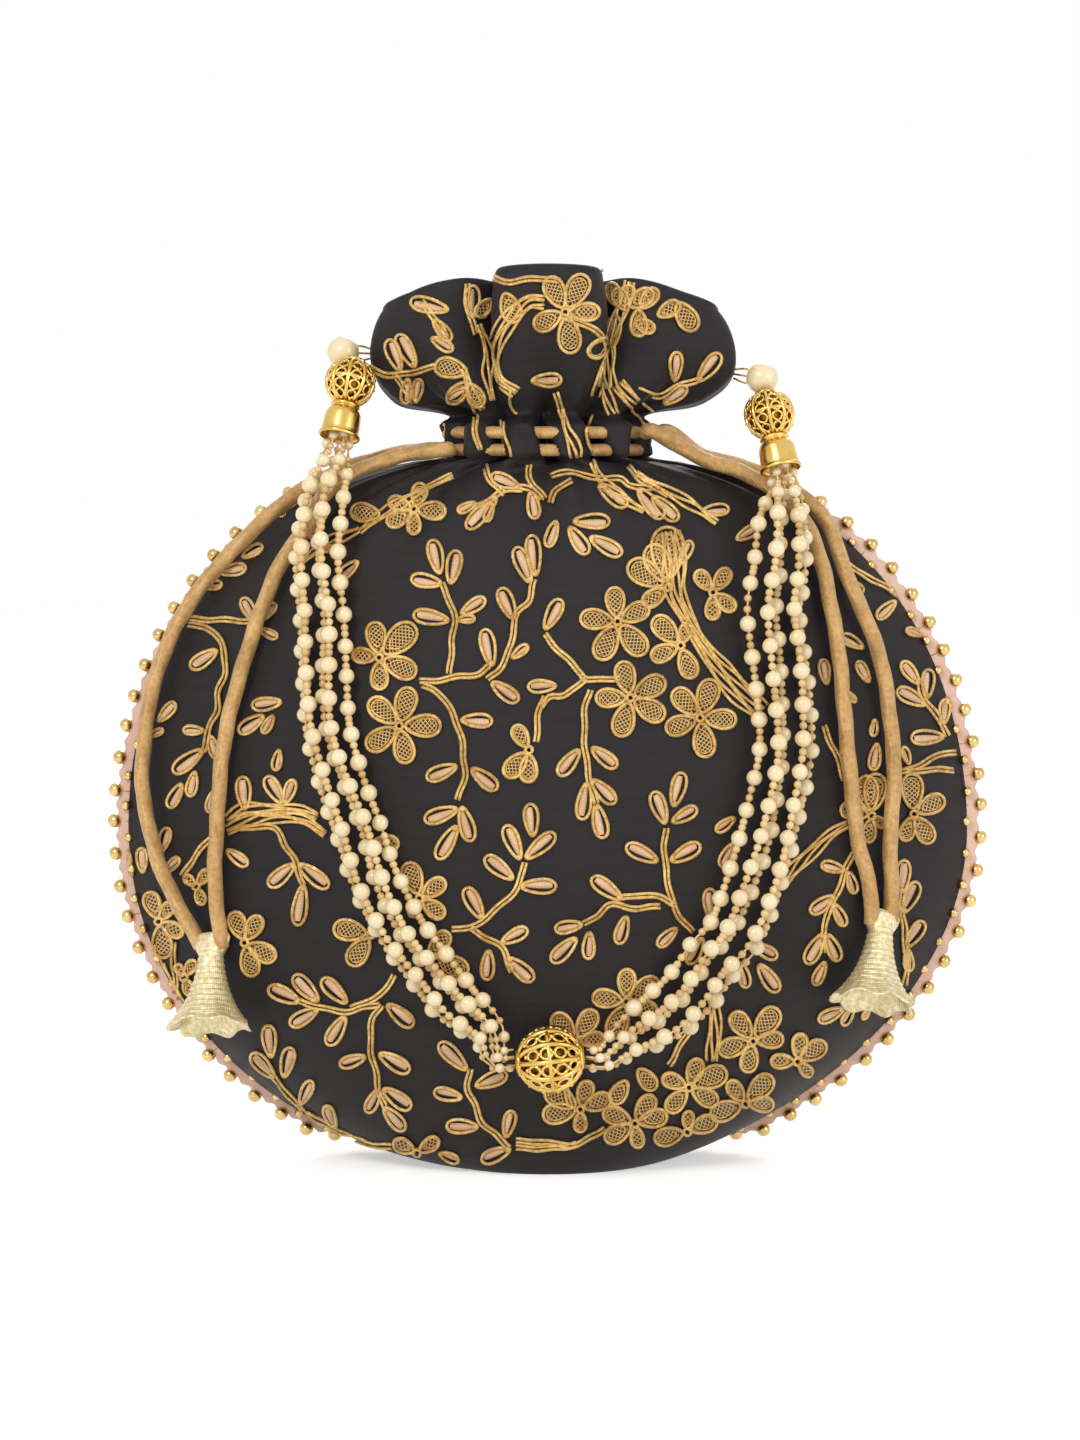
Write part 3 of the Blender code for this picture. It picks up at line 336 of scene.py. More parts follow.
STEMS = (
    (2, ((-24.6, 145), (-22.3, 140), (-21.3, 135.5), (-22, 130), (-22.5, 122.5))),
    (2, ((-30, 120.5), (-25, 121), (-20, 121.8), (-15.5, 122.5), (-12.5, 124.5))),
    (2, ((-13, 121), (-10, 124), (-7.5, 129), (-6.7, 134), (-5.5, 138), (-2.8, 141), (-1.5, 146))),
    (2, ((-29.5, 119.5), (-25.5, 118), (-22, 113), (-20, 108), (-19, 102), (-18.8, 97), (-20.5, 91))),
    (2, ((-4.5, 168.6), (-9, 168), (-12.5, 166), (-15.5, 164.3))),
    (2, ((-5.5, 168.8), (-2, 168.5), (0.3, 166))),
    (2, ((1, 117), (-0.5, 112), (-1, 105.5))),
    (2, ((-4, 75.5), (-5.2, 70), (-8.5, 66), (-13, 62), (-17.5, 59), (-22, 59))),
    (2, ((-17.5, 59), (-14, 57), (-10.5, 55), (-8.5, 52.5), (-7, 48))),
    (2, ((3, 171.5), (7, 173), (11.5, 171.5), (16, 171.2), (20, 171), (22, 169.5), (25, 169), (28,
     168.5))),
    (2, ((3, 165), (4, 168.5), (8, 170.5))),
    (2, ((1, 132.3), (5.5, 127.5), (10, 123), (12.3, 121), (20, 121.5))),
    (2, ((0.3, 114), (2.5, 117), (6.5, 117.2), (11.5, 121.5))),
    (2, ((12.5, 118.5), (11.3, 114), (11, 109), (11.3, 104), (11.8, 99), (12.8, 94.5), (14, 90))),
    (2, ((31.3, 84), (31, 77), (31.7, 72), (32.8, 66), (34.8, 62), (38, 58))),
    (2, ((20, 66.5), (25, 67.3), (30, 66.7), (34, 64.8))),
    (2, ((11, 60), (14, 62), (17.5, 64.8), (24, 64), (30, 64.5))),
    (7, ((32.5, 158), (33.5, 150), (34, 142), (38, 134), (43, 126), (49, 119), (55, 113))),
    (2, ((-36.5, 47.5), (-38.5, 43.5), (-43, 40.8), (-47, 39))),
    (2, ((-40, 40.2), (-44, 39.2), (-48, 38.3), (-54, 39), (-60, 41))),
    (2, ((-39.5, 40), (-41.8, 36), (-42.3, 30), (-41.3, 25), (-40.3, 19.5), (-38.8, 14.5))),
    (2, ((-66.5, 22), (-63, 18), (-59.5, 14), (-55, 10), (-50, 7.8), (-43, 5.5), (-37, 4.6))),
    (2, ((-17.5, 24), (-18, 19), (-16.5, 15.5), (-14.3, 10.5), (-10.5, 7), (-7.5, 4.5))),
    (2, ((-6, 6), (0, 5.8), (6, 5), (10, 5.5), (14, 7.8), (16, 9.5))),
    (2, ((-6, 4.3), (4, 4.2), (9, 5.5))),
    (4, ((43.3, 40), (43.5, 33), (43, 26))),
    (2, ((37, 33.5), (34, 28), (32, 25))),
    (2, ((6, 20), (8, 14))),
    (2, ((-87, 136), (-82, 136), (-76, 135.7), (-72, 135.7))),
    (2, ((-87.5, 134.5), (-83, 134), (-80, 131), (-78.5, 127), (-78.5, 123), (-80, 118.5), (-80.5,
     113.5), (-82, 110), (-84, 103))),
    (4, ((-78, 86), (-74, 88.5), (-70, 88.8), (-65, 88.8), (-60, 88.5), (-55.5, 86.8))),
    (4, ((-78, 83.5), (-73, 85.3), (-68, 86.8), (-63, 86.8), (-58, 85.5), (-53.5, 82.5))),
    (2, ((-75, 83.8), (-69, 84.5), (-65.5, 83.3), (-63, 79), (-61, 75.5), (-59, 69.8))),
    (2, ((-89, 72), (-86, 77), (-82, 81.5), (-80, 85.5))),
    (2, ((-96.5, 55), (-95, 48), (-92, 41.5), (-89, 35.5))),
    (2, ((-91.5, 55.5), (-91, 48), (-90.5, 40.5))),
    (2, ((74, 151), (78, 149), (82, 146), (86, 144.5), (89.5, 141.5))),
    (2, ((94, 121), (96.5, 115), (100, 110.5), (101.5, 107))),
    (2, ((90.5, 98), (94, 99.5), (98, 101.5), (101.5, 102.8), (103.5, 103))),
    (2, ((90, 98), (96, 98.5), (103, 98.5))),
    (2, ((70.5, 109.5), (74, 102), (76, 96))),
    (4, ((60, 69.5), (65, 75.5), (68.5, 79), (72, 82), (77, 85))),
    (2, ((78, 78), (76, 73), (73.5, 66.5), (71, 61), (70.8, 57.5), (70.5, 53))),
    (2, ((90, 68), (90.3, 63), (91, 55.5), (91.5, 50.5), (91, 45))),
    (2, ((-43, 199.5), (-38, 197.5), (-33, 197.7), (-29, 199), (-25.5, 199.5))),
    (2, ((-18.5, 220), (-18, 213), (-16, 207.5))),
    (5, ((1, 215.5), (-3, 215.5), (-7, 211.5), (-10, 207), (-11, 202), (-10, 196.5), (-6, 193))),
    (2, ((-12, 221.5), (-8, 220.5), (-3, 221), (2, 221.3), (5, 220.5))),
    (2, ((5, 212), (10, 210.5), (14, 208), (16.5, 205.5))),
    (2, ((24.5, 193.5), (30, 192.5), (35, 195), (40, 196.5))),
    (5, ((19.5, 195), (22.5, 191.5), (26, 188), (30, 183.5), (34, 180))),
    (5, ((17, 206), (17.2, 202), (17, 198), (17.5, 194))),
    (3, ((-19, 199), (-17.5, 193), (-15, 188.5))),
    (2, ((-8, 194), (-7.5, 190), (-6, 187))),
    (2, ((4, 193), (5.5, 189), (6, 186))),
    (3, ((15, 200), (16.5, 193), (18.5, 187.5))),
    (2, ((-14, 175), (-12.5, 171), (-9, 167))),
    (2, ((-3, 175), (-2.5, 171), (1, 166))),
    (3, ((13, 175.5), (15, 171), (19.5, 167), (26, 163))),
    (2, ((22, 174), (26, 170), (32, 167))),
    (4, ((22.5, 220.5), (21, 215), (19, 209), (17.3, 204))),
    (3, ((17, 204), (15.2, 198), (14, 192))),
    (2, ((-29.5, 215.5), (-26, 211), (-23.5, 206.5))),
    (3, ((-15.3, 210), (-13.2, 203), (-13.2, 197), (-12, 191))),
    (3, ((5.5, 189), (6.5, 184.5), (8.2, 180.5), (9, 177))),
    (3, ((-9.5, 186), (-9, 181), (-8.5, 177))),
    (2, ((-16.2, 187), (-16, 182.5), (-15, 178.5))),
    (2, ((12.5, 187), (12, 182.5), (13, 178))),
    (2, ((-36.5, 197.5), (-33, 193.5), (-31.8, 190.5))),
    (3, ((-45, 158), (-38, 163), (-30, 168), (-22, 172))),
    (3, ((-60, 150), (-52, 155.5), (-45, 158.5))),
    (3, ((44, 160), (38, 164.5), (30, 169), (24, 172.5))),
)


# Shape of the pouch

def body_share(height):
    """How far the pouch has opened from base or neck to its widest, to the left and right."""
    if height >= WIDEST_HEIGHT:
        up = min((height - WIDEST_HEIGHT) / (NECK_HEIGHT - WIDEST_HEIGHT), 1)
        share = (1 - up * up) ** SHOULDER_ROUNDNESS
        return share, share
    down = 1 - max(height, 0) / WIDEST_HEIGHT
    return (1 - down * down) ** LEFT_SAG, (1 - down * down) ** RIGHT_SAG


def ruffle_flare(height):
    """How far the ruffle has opened from the neck, with its top edge curling in."""
    up = (height - BAND_TOP) / RISE_FRONT
    flare = math.sin(0.5 * math.pi * min(up / RUFFLE_FULLEST, 1))
    curl = max(up - RUFFLE_FULLEST, 0) / (1 - RUFFLE_FULLEST)
    return flare - RUFFLE_CURL * curl * curl


def half_sizes(height):
    """Reach to the left, right, front and back at a height."""
    if height > BAND_TOP:
        flare = ruffle_flare(height)
        return (NECK_HALF_WIDTH + (RUFFLE_LEFT - NECK_HALF_WIDTH) * flare,
                NECK_HALF_WIDTH + (RUFFLE_RIGHT - NECK_HALF_WIDTH) * flare,
                NECK_FRONT + (RUFFLE_FRONT - NECK_FRONT) * flare,
                NECK_BACK + (RUFFLE_BACK - NECK_BACK) * flare)
    if height >= NECK_HEIGHT:
        return NECK_HALF_WIDTH, NECK_HALF_WIDTH, NECK_FRONT, NECK_BACK
    left, right = body_share(height)
    depth = (0.5 * (left + right)) ** DEPTH_ROUNDNESS
    upper = height >= WIDEST_HEIGHT
    wide = NECK_HALF_WIDTH if upper else BASE_HALF_WIDTH
    front = NECK_FRONT if upper else BASE_FRONT
    back = NECK_BACK if upper else BASE_BACK
    return (wide + (BODY_HALF_WIDTH - wide) * left,
            wide + (BODY_HALF_WIDTH - wide) * right,
            front + (FRONT_BULGE - front) * depth,
            back + (BACK_BULGE - back) * depth)


def pleat_inset(angle, height):
    """How deep the gathers cut in: all round near the neck, and further down at the front middle."""
    below = max(NECK_HEIGHT - height, 0)
    above = max(height - BAND_TOP, 0)
    fold = (0.5 + 0.5 * math.cos(PLEATS * angle)) * min(SEAM_FLATNESS * abs(math.sin(angle)), 1)
    spread = half_sizes(max(height, WIDEST_HEIGHT))[1] - NECK_HALF_WIDTH if below else above
    spread += max(WIDEST_HEIGHT - height, 0)
    inset = fold * PLEAT_DEPTH * math.exp(-spread / PLEAT_REACH)
    off_centre = abs(math.degrees(angle) % 360 - 270) / CENTRE_PLEAT_WIDTH
    if below and off_centre < 1:
        fade = max(1 - below / CENTRE_PLEAT_REACH, 0)
        inset += CENTRE_PLEAT_DEPTH * fade * (1 - off_centre) * min(below / TIE_BAND, 1)
    return inset


def lobe_factor(angle, height):
    """Shrinks the ruffle towards the valleys between its lobes."""
    if height <= BAND_TOP:
        return 1.0
    turn = math.degrees(angle) % 360
    valleys = [LOBE_VALLEYS[-1] - 360] + list(LOBE_VALLEYS) + [LOBE_VALLEYS[0] + 360]
    low = max(v for v in valleys if v <= turn + 0.001)
    high = min(v for v in valleys if v > turn + 0.001)
    bulge = max(math.sin(math.pi * (turn - low) / (high - low)), 0) ** LOBE_ROUNDNESS
    ramp = min((height - BAND_TOP) / (RISE_FRONT * LOBE_START), 1)
    return 1 - LOBE_DEPTH * ramp * ramp * (3 - 2 * ramp) * (1 - bulge)


def rise(angle, height):
    """World height: the ruffle stands highest at the front and lowest at the sides."""
    if height <= BAND_TOP:
        return height
    towards_front = -math.sin(angle)
    tall = RISE_FRONT if towards_front > 0 else RISE_BACK
    top = RISE_SIDE + (tall - RISE_SIDE) * abs(towards_front) ** 1.3
    return BAND_TOP + (height - BAND_TOP) * top / RISE_FRONT


def seam_line(height):
    """How far behind the middle the side seams run, which is furthest near the base."""
    return SEAM_SETBACK * max(1 - height / SETBACK_HEIGHT, 0) ** 2


def skin(angle, height, inset=0.0):
    """A point of the wall, set in from the ungathered outline."""
    left, right, front, back = half_sizes(height)
    factor = lobe_factor(angle, height)
    share = 0.5 * sum(body_share(height)) if height < NECK_HEIGHT else 0
    power = 1 + EDGE_SHARPNESS * share
    seam = seam_line(height)
    sine = math.sin(angle)
    cosine = math.cos(angle)
    behind = sine >= 0
    reach = (back if behind else front) * factor - inset + (-seam if behind else seam)
    forward = abs(sine) ** power * reach
    x = ((right if cosine > 0 else left) * factor - inset) * cosine
    y = seam + forward if behind else seam - forward
    return Vector((x, y, rise(angle, height)))


def outward(angle, height):
    """Outward direction of the ungathered wall."""
    turn = math.radians(2)
    step = 1 * MM
    low = max(height - step, 0)
    high = min(height + step, RUFFLE_TOP)
    along = skin(angle + turn, height) - skin(angle - turn, height)
    up = skin(angle, high) - skin(angle, low)
    return along.cross(up).normalized()


def on_skin(degrees, height_mm, lift_mm):
    """A point lifted off the ungathered wall, with the outward direction there."""
    angle = math.radians(degrees)
    direction = outward(angle, height_mm * MM)
    return skin(angle, height_mm * MM) + direction * lift_mm * MM, direction


def smooth_path(points, step):
    """Even points along a smooth curve through the given ones."""
    ends = [2 * points[0] - points[1]] + list(points) + [2 * points[-1] - points[-2]]
    dense = []
    for a, b, c, d in zip(ends, ends[1:], ends[2:], ends[3:]):
        for i in range(16):
            t = i / 16
            dense.append(0.5 * (2 * b + (c - a) * t + (2 * a - 5 * b + 4 * c - d) * t * t
                                + (3 * b - a - 3 * c + d) * t ** 3))
    dense.append(points[-1].copy())
    lengths = [0.0]
    for a, b in zip(dense, dense[1:]):
        lengths.append(lengths[-1] + (b - a).length)
    count = max(round(lengths[-1] / step), 2)
    even = []
    at = 0
    for i in range(count + 1):
        target = lengths[-1] * i / count
        while at < len(dense) - 2 and lengths[at + 1] < target:
            at += 1
        share = (target - lengths[at]) / max(lengths[at + 1] - lengths[at], 1e-9)
        even.append(dense[at].lerp(dense[at + 1], share))
    return even


# Materials

class Finish:
    """A procedural material, with short ways to add and join its nodes."""

    def __init__(self, name, colour, roughness, metallic=0.0, **settings):
        self.made = bpy.data.materials.new(name)
        self.made.use_nodes = True
        self.tree = self.made.node_tree
        self.shader = self.tree.nodes["Principled BSDF"]
        self.set("Base Color", (*colour, 1))
        self.set("Roughness", roughness)
        self.set("Metallic", metallic)
        for socket, value in settings.items():
            self.set(socket.replace("_", " "), value)
        coordinates = self.tree.nodes.new("ShaderNodeTexCoord")
        self.place = coordinates.outputs["Object"]
        self.unwrapped = coordinates.outputs["UV"]

    def set(self, socket, value):
        self.shader.inputs[socket].default_value = value

    def node(self, kind, inputs=None, **settings):
        made = self.tree.nodes.new(kind)
        for key, value in settings.items():
            setattr(made, key, value)
        for key, value in (inputs or {}).items():
            if isinstance(value, bpy.types.NodeSocket):
                self.tree.links.new(value, made.inputs[key])
            else:
                made.inputs[key].default_value = value
        return made

    def noise(self, scale, detail=2.0, place=None):
        where = place or self.place
        inputs = {"Vector": where, "Scale": scale, "Detail": detail}
        return self.node("ShaderNodeTexNoise", inputs).outputs["Fac"]

    def stretched(self, scale, place=None):
        inputs = {"Vector": place or self.place, "Scale": scale}
        return self.node("ShaderNodeMapping", inputs).outputs["Vector"]

    def waves(self, scale, direction, distortion=0.0, place=None):
        inputs = {"Vector": place or self.place, "Scale": scale, "Distortion": distortion}
        made = self.node("ShaderNodeTexWave", inputs, wave_type="BANDS", bands_direction=direction)
        return made.outputs["Fac"]

    def maths(self, operation, a, b):
        made = self.node("ShaderNodeMath", {0: a, 1: b}, operation=operation)
        return made.outputs[0]

    def ramp(self, factor, stops):
        made = self.node("ShaderNodeValToRGB", {"Fac": factor})
        band = made.color_ramp
        while len(band.elements) < len(stops):
            band.elements.new(0.5)
        for element, (position, colour) in zip(band.elements, stops):
            element.position = position
            element.color = (*colour, 1)
        return made.outputs["Color"]

    def colour(self, factor, stops):
        self.tree.links.new(self.ramp(factor, stops), self.shader.inputs["Base Color"])
        return self

    def rough(self, factor, low, high):
        spread = self.node("ShaderNodeMapRange", {0: factor, 3: low, 4: high})
        self.tree.links.new(spread.outputs[0], self.shader.inputs["Roughness"])
        return self

    def bump(self, height, distance, strength=1.0):
        inputs = {"Height": height, "Distance": distance, "Strength": strength}
        made = self.node("ShaderNodeBump", inputs)
        self.tree.links.new(made.outputs["Normal"], self.shader.inputs["Normal"])
        return self


def black_satin():
    finish = Finish("black_satin", (0.013, 0.0095, 0.0102), 0.62, Sheen_Weight=0.04,
                    Sheen_Roughness=0.4, Specular_IOR_Level=0.26)
    finish.set("Sheen Tint", (0.75, 0.62, 0.66, 1))
    warp = finish.waves(900, "X", 1.5)
    weft = finish.waves(620, "Z", 2.5)
    slub = finish.noise(1, 3, finish.stretched((90, 90, 900)))
    weave = finish.maths("ADD", finish.maths("ADD", warp, weft), slub)
    patches = finish.noise(45, 3)
    shade = finish.maths("ADD", finish.maths("MULTIPLY", slub, 0.5),
                         finish.maths("MULTIPLY", patches, 0.5))
    finish.colour(shade, ((0.3, (0.009, 0.0065, 0.007)), (0.7, (0.0185, 0.0135, 0.0145))))
    finish.rough(patches, 0.5, 0.66)
    return finish.bump(weave, 0.00012, 0.3).made


def blush_satin(name, light, dark):
    finish = Finish(name, light, 0.55, Sheen_Weight=0.2)
    threads = finish.waves(700, "Z", 2)
    patches = finish.noise(120, 3)
    finish.colour(patches, ((0.3, dark), (0.7, light)))
    return finish.bump(threads, 0.0001, 0.4).made


def pearl_lustre(name, light, dark):
    finish = Finish(name, light, 0.2, Coat_Weight=0.7, Coat_Roughness=0.1)
    tint = finish.noise(140, 1)
    finish.colour(tint, ((0.3, dark), (0.7, light)))
    return finish.bump(finish.noise(1500, 1), 0.00003, 0.2).made


def gilt(name, light, dark, roughness=0.26):
    finish = Finish(name, light, roughness, 1.0)
    worn = finish.noise(160, 2)
    finish.colour(worn, ((0.3, dark), (0.7, light)))
    finish.rough(worn, roughness * 0.8, roughness * 1.35)
    return finish.bump(finish.noise(900, 2), 0.00004, 0.3).made


def cord_satin(name, light, dark, roughness=0.42, metallic=0.1, scale=1100):
    finish = Finish(name, light, roughness, metallic, Sheen_Weight=0.25, Sheen_Roughness=0.35)
    shade = finish.maths("ADD", finish.maths("MULTIPLY", finish.noise(900, 2), 0.5),
                         finish.maths("MULTIPLY", finish.noise(110, 2), 0.5))
    finish.colour(shade, ((0.36, dark), (0.64, light)))
    threads = finish.waves(scale, "DIAGONAL", 3)
    return finish.bump(threads, 0.00012, 0.6).made


def leaf_satin():
    """Padded satin stitch: blush threads laid across each leaf, with painted highlights along the
    threads in its colour.
    """
    finish = Finish("blush_leaf_satin", (0.7, 0.42, 0.24), 0.38, Sheen_Weight=0.3,
                    Sheen_Roughness=0.3)
    threads = finish.waves(0.85, "X", 0.6, finish.unwrapped)
    # The thread stripes mixed into the colour are painted highlights on the rounded threads; the noise
    # part is random tone.
    shade = finish.maths("ADD", finish.maths("MULTIPLY", threads, 0.35),
                         finish.maths("MULTIPLY", finish.noise(160, 2), 0.65))
    finish.colour(shade, ((0.2, (0.58, 0.3, 0.13)), (0.7, (0.98, 0.68, 0.4))))
    return finish.bump(threads, 0.00015, 0.7).made


def petal_mesh():
    """Gold threads crossed over the dark cloth inside a petal."""
    finish = Finish("gold_petal_thread", (0.4, 0.22, 0.06), 0.42)
    lines = []
    for degrees in (38, -38):
        turned = finish.node("ShaderNodeMapping", {"Vector": finish.unwrapped,
                                                   "Rotation": (0, 0, math.radians(degrees))})
        lines.append(finish.waves(0.36, "X", 0.8, turned.outputs["Vector"]))
    crossed = finish.maths("MAXIMUM", *lines)
    finish.colour(crossed, ((0.72, (0.018, 0.01, 0.007)), (0.85, (0.36, 0.18, 0.04)),
                            (0.98, (0.82, 0.52, 0.15))))
    return finish.bump(crossed, 0.0003, 0.8).made


def zari_ribbon():
    finish = Finish("pale_gold_ribbon", (0.8, 0.68, 0.36), 0.33, 0.5)
    threads = finish.waves(900, "Z", 0.4)
    across = finish.waves(700, "X", 0.4)
    sparkle = finish.noise(900, 2)
    finish.colour(sparkle, ((0.3, (0.66, 0.53, 0.24)), (0.7, (0.98, 0.89, 0.6))))
    return finish.bump(finish.maths("ADD", threads, across), 0.0001, 0.5).made


MATERIALS = {
    "fabric": black_satin(),
    "tape": blush_satin("blush_tape", (0.82, 0.56, 0.45), (0.7, 0.44, 0.33)),
    "lining": blush_satin("blush_lining", (0.62, 0.36, 0.2), (0.48, 0.25, 0.12)),
    "pearl": pearl_lustre("cream_pearl", (0.93, 0.78, 0.49), (0.87, 0.68, 0.38)),
    "seed": pearl_lustre("gold_seed_bead", (0.86, 0.62, 0.29), (0.62, 0.38, 0.12)),
    "rim_bead": gilt("gold_rim_bead", (0.72, 0.54, 0.24), (0.56, 0.38, 0.14), 0.2),
    "gold": gilt("gold_filigree", (0.84, 0.58, 0.19), (0.64, 0.4, 0.09), 0.24),
    # painted shade: darker gold for the shaded hollow inside each filigree ball
    "painted_shade_core": gilt("painted_shade_core", (0.34, 0.2, 0.03), (0.2, 0.11, 0.015), 0.5),
    "drawcord": cord_satin("gold_satin_cord", (0.74, 0.45, 0.17), (0.46, 0.25, 0.075), 0.36, 0.15),
    "zari": zari_ribbon(),
    "outline": cord_satin("couched_gold_cord", (0.95, 0.64, 0.22), (0.5, 0.27, 0.055), 0.3, 0.4,
                          1500),
    "leaf": leaf_satin(),
    "mesh": petal_mesh(),
}


# Building

def add_mesh(name, points, faces, finish, crease=None, uvs=None):
    """A smooth-shaded object wound outward."""
    mesh = bpy.data.meshes.new(name)
    mesh.from_pydata([tuple(p) for p in points], [], faces)
    shape = bmesh.new()
    shape.from_mesh(mesh)
    bmesh.ops.recalc_face_normals(shape, faces=shape.faces)
    shape.to_mesh(mesh)
    shape.free()
    mesh.shade_smooth()
    if crease:
        mesh.set_sharp_from_angle(angle=math.radians(crease))
    made = bpy.data.objects.new(name, mesh)
    bpy.context.scene.collection.objects.link(made)
    mesh.materials.append(MATERIALS[finish])
    return made


class Shape:
    """Points and faces gathered into one mesh."""

    def __init__(self):
        self.points = []
        self.faces = []
        self.marks = {}

    def grid(self, rows, closed=False):
        """A sheet through rows of points, closed round each row if asked."""
        start = len(self.points)
        columns = len(rows[0])
        for row in rows:
            self.points += row
        spans = columns if closed else columns - 1
        for i in range(len(rows) - 1):
            for j in range(spans):
                k = (j + 1) % columns
                low = start + i * columns
                high = low + columns
                self.faces.append((low + j, low + k, high + k, high + j))
        return start

    def tube(self, path, radius, sides=6, closed=False, flat=1.0, up=None):
        """A tube along a path; flat squeezes it along its up direction."""
        count = len(path)
        rows = []
        side = None
        for i, point in enumerate(path):
            before = path[i - 1] if i or closed else point
            after = path[(i + 1) % count] if i < count - 1 or closed else point
            way = (after - before).normalized()
            guide = up[i] if up else (side if side else way.orthogonal())
            side = (guide - way * guide.dot(way)).normalized()
            other = way.cross(side)
            size = radius[i] if isinstance(radius, (list, tuple)) else radius
            row = []
            for j in range(sides):
                turn = 2 * math.pi * j / sides
                row.append(point + size * (side * math.cos(turn) * flat + other * math.sin(turn)))
            rows.append(row)
        if closed:
            rows.append(rows[0])
        start = self.grid(rows, True)
        if not closed:
            self.faces.append([start + j for j in range(sides)])
            last = start + (count - 1) * sides
            self.faces.append([last + j for j in range(sides)])

    def ball(self, centre, radius, segments=14, rings=8, axis=None):
        """A round bead."""
        frame = Vector((0, 0, 1)).rotation_difference(axis or Vector((0, 0, 1))).to_matrix()
        top = len(self.points)
        self.points.append(centre + frame @ Vector((0, 0, radius)))
        rows = []
        for i in range(1, rings):
            tilt = math.pi * i / rings
            row = []
            for j in range(segments):
                turn = 2 * math.pi * j / segments
                spot = Vector((math.sin(tilt) * math.cos(turn), math.sin(tilt) * math.sin(turn),
                               math.cos(tilt)))
                row.append(centre + frame @ (spot * radius))
            rows.append(row)
        start = self.grid(rows, True)
        bottom = len(self.points)
        self.points.append(centre - frame @ Vector((0, 0, radius)))
        last = start + (rings - 2) * segments
        for j in range(segments):
            k = (j + 1) % segments
            self.faces.append((top, start + j, start + k))
            self.faces.append((bottom, last + k, last + j))

    def made(self, name, finish, body, slot, nodes=(), crease=None):
        """The object, riding on its body and standing for CAD nodes; marks become its UVs."""
        piece = add_mesh(name, self.points, self.faces, finish, crease)
        if self.marks:
            layer = piece.data.uv_layers.new(name="UVMap")
            for loop in piece.data.loops:
                layer.data[loop.index].uv = self.marks.get(loop.vertex_index, (0, 0))
        if body:
            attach(piece, body)
        if nodes:
            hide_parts(*nodes)
        return piece


def turned_rows(profile, segments, start, direction, ripple=None):
    """Rows of a turned form from radius and distance along an axis."""
    axis = direction.normalized()
    side = axis.orthogonal().normalized()
    other = axis.cross(side)
    rows = []
    for radius, along in profile:
        row = []
        for i in range(segments):
            turn = 2 * math.pi * i / segments
            reach, drop = ripple(turn, along) if ripple else (0, 0)
            way = side * math.cos(turn) + other * math.sin(turn)
            row.append(start + axis * (along + drop) + way * max(radius + reach, 0.00002))
        rows.append(row)
    return rows


# Camera, floor and light

def add_camera():
    lens = bpy.data.cameras.new("camera")
    lens.sensor_fit = "VERTICAL"
    lens.sensor_height = 36
    lens.lens = 36 * CAMERA_DISTANCE / PICTURE_HEIGHT
    camera = bpy.data.objects.new("camera", lens)
    bpy.context.scene.collection.objects.link(camera)
    way = Vector((0, -math.cos(CAMERA_ELEVATION), math.sin(CAMERA_ELEVATION)))
    camera.location = CAMERA_TARGET + way * CAMERA_DISTANCE
    camera.rotation_euler = (-way).to_track_quat("-Z", "Y").to_euler()
    bpy.context.scene.camera = camera
    return camera


def seen_directly(tree):
    """1 for the rays of the camera, a shiny surface or glass, and 0 for plain light."""
    path = tree.nodes.new("ShaderNodeLightPath")
    so_far = path.outputs["Is Camera Ray"]
    for other in ("Is Glossy Ray", "Is Transmission Ray"):
        either = tree.nodes.new("ShaderNodeMath")
        either.operation = "MAXIMUM"
        tree.links.new(so_far, either.inputs[0])
        tree.links.new(path.outputs[other], either.inputs[1])
        so_far = either.outputs[0]
    return so_far


def add_world():
    world = bpy.data.worlds.new("studio")
    bpy.context.scene.world = world
    world.use_nodes = True
    tree = world.node_tree
    background = tree.nodes["Background"]
    background.inputs["Color"].default_value = (1, 1, 1, 1)
    strength = tree.nodes.new("ShaderNodeMapRange")
    tree.links.new(seen_directly(tree), strength.inputs[0])
    strength.inputs[3].default_value = WORLD_LIGHT
    strength.inputs[4].default_value = 1.0
    tree.links.new(strength.outputs[0], background.inputs["Strength"])


def add_floor():
    size = 3.0
    mesh = bpy.data.meshes.new("floor")
    mesh.from_pydata([(-size, -size, 0), (size, -size, 0), (size, size, 0), (-size, size, 0)], [],
                     [(0, 1, 2, 3)])
    floor = bpy.data.objects.new("floor", mesh)
    bpy.context.scene.collection.objects.link(floor)
    made = bpy.data.materials.new("floor_white")
    made.use_nodes = True
    tree = made.node_tree
    shader = tree.nodes["Principled BSDF"]
    shader.inputs["Base Color"].default_value = (0.93, 0.93, 0.93, 1)
    shader.inputs["Roughness"].default_value = 0.9
    shader.inputs["Specular IOR Level"].default_value = 0.1
    glow = tree.nodes.new("ShaderNodeEmission")
    glow.inputs["Strength"].default_value = FLOOR_GLOW
    both = tree.nodes.new("ShaderNodeAddShader")
    chosen = tree.nodes.new("ShaderNodeMixShader")
    tree.links.new(shader.outputs[0], both.inputs[0])
    tree.links.new(glow.outputs[0], both.inputs[1])
    tree.links.new(seen_directly(tree), chosen.inputs[0])
    tree.links.new(shader.outputs[0], chosen.inputs[1])
    tree.links.new(both.outputs[0], chosen.inputs[2])
    tree.links.new(chosen.outputs[0], tree.nodes["Material Output"].inputs["Surface"])
    mesh.materials.append(made)


def add_lamp(name, place, size, power, colour=(1, 1, 1)):
    light = bpy.data.lights.new(name, "AREA")
    light.shape = "DISK"
    light.size = size
    light.energy = power
    light.color = colour
    lamp = bpy.data.objects.new(name, light)
    bpy.context.scene.collection.objects.link(lamp)
    lamp.location = place
    lamp.rotation_euler = (CAMERA_TARGET - Vector(place)).to_track_quat("-Z", "Y").to_euler()


# Cords

def neck_place(angle, height):
    """The middle of a cord that lies against the neck, with the way outward there."""
    way = Vector((math.cos(angle) / NECK_HALF_WIDTH, math.sin(angle) / NECK_FRONT, 0)).normalized()
    wall = Vector((NECK_HALF_WIDTH * math.cos(angle), NECK_FRONT * math.sin(angle), height))
    return wall + way * (0.5 * CORD + CORD_CLEARANCE), way


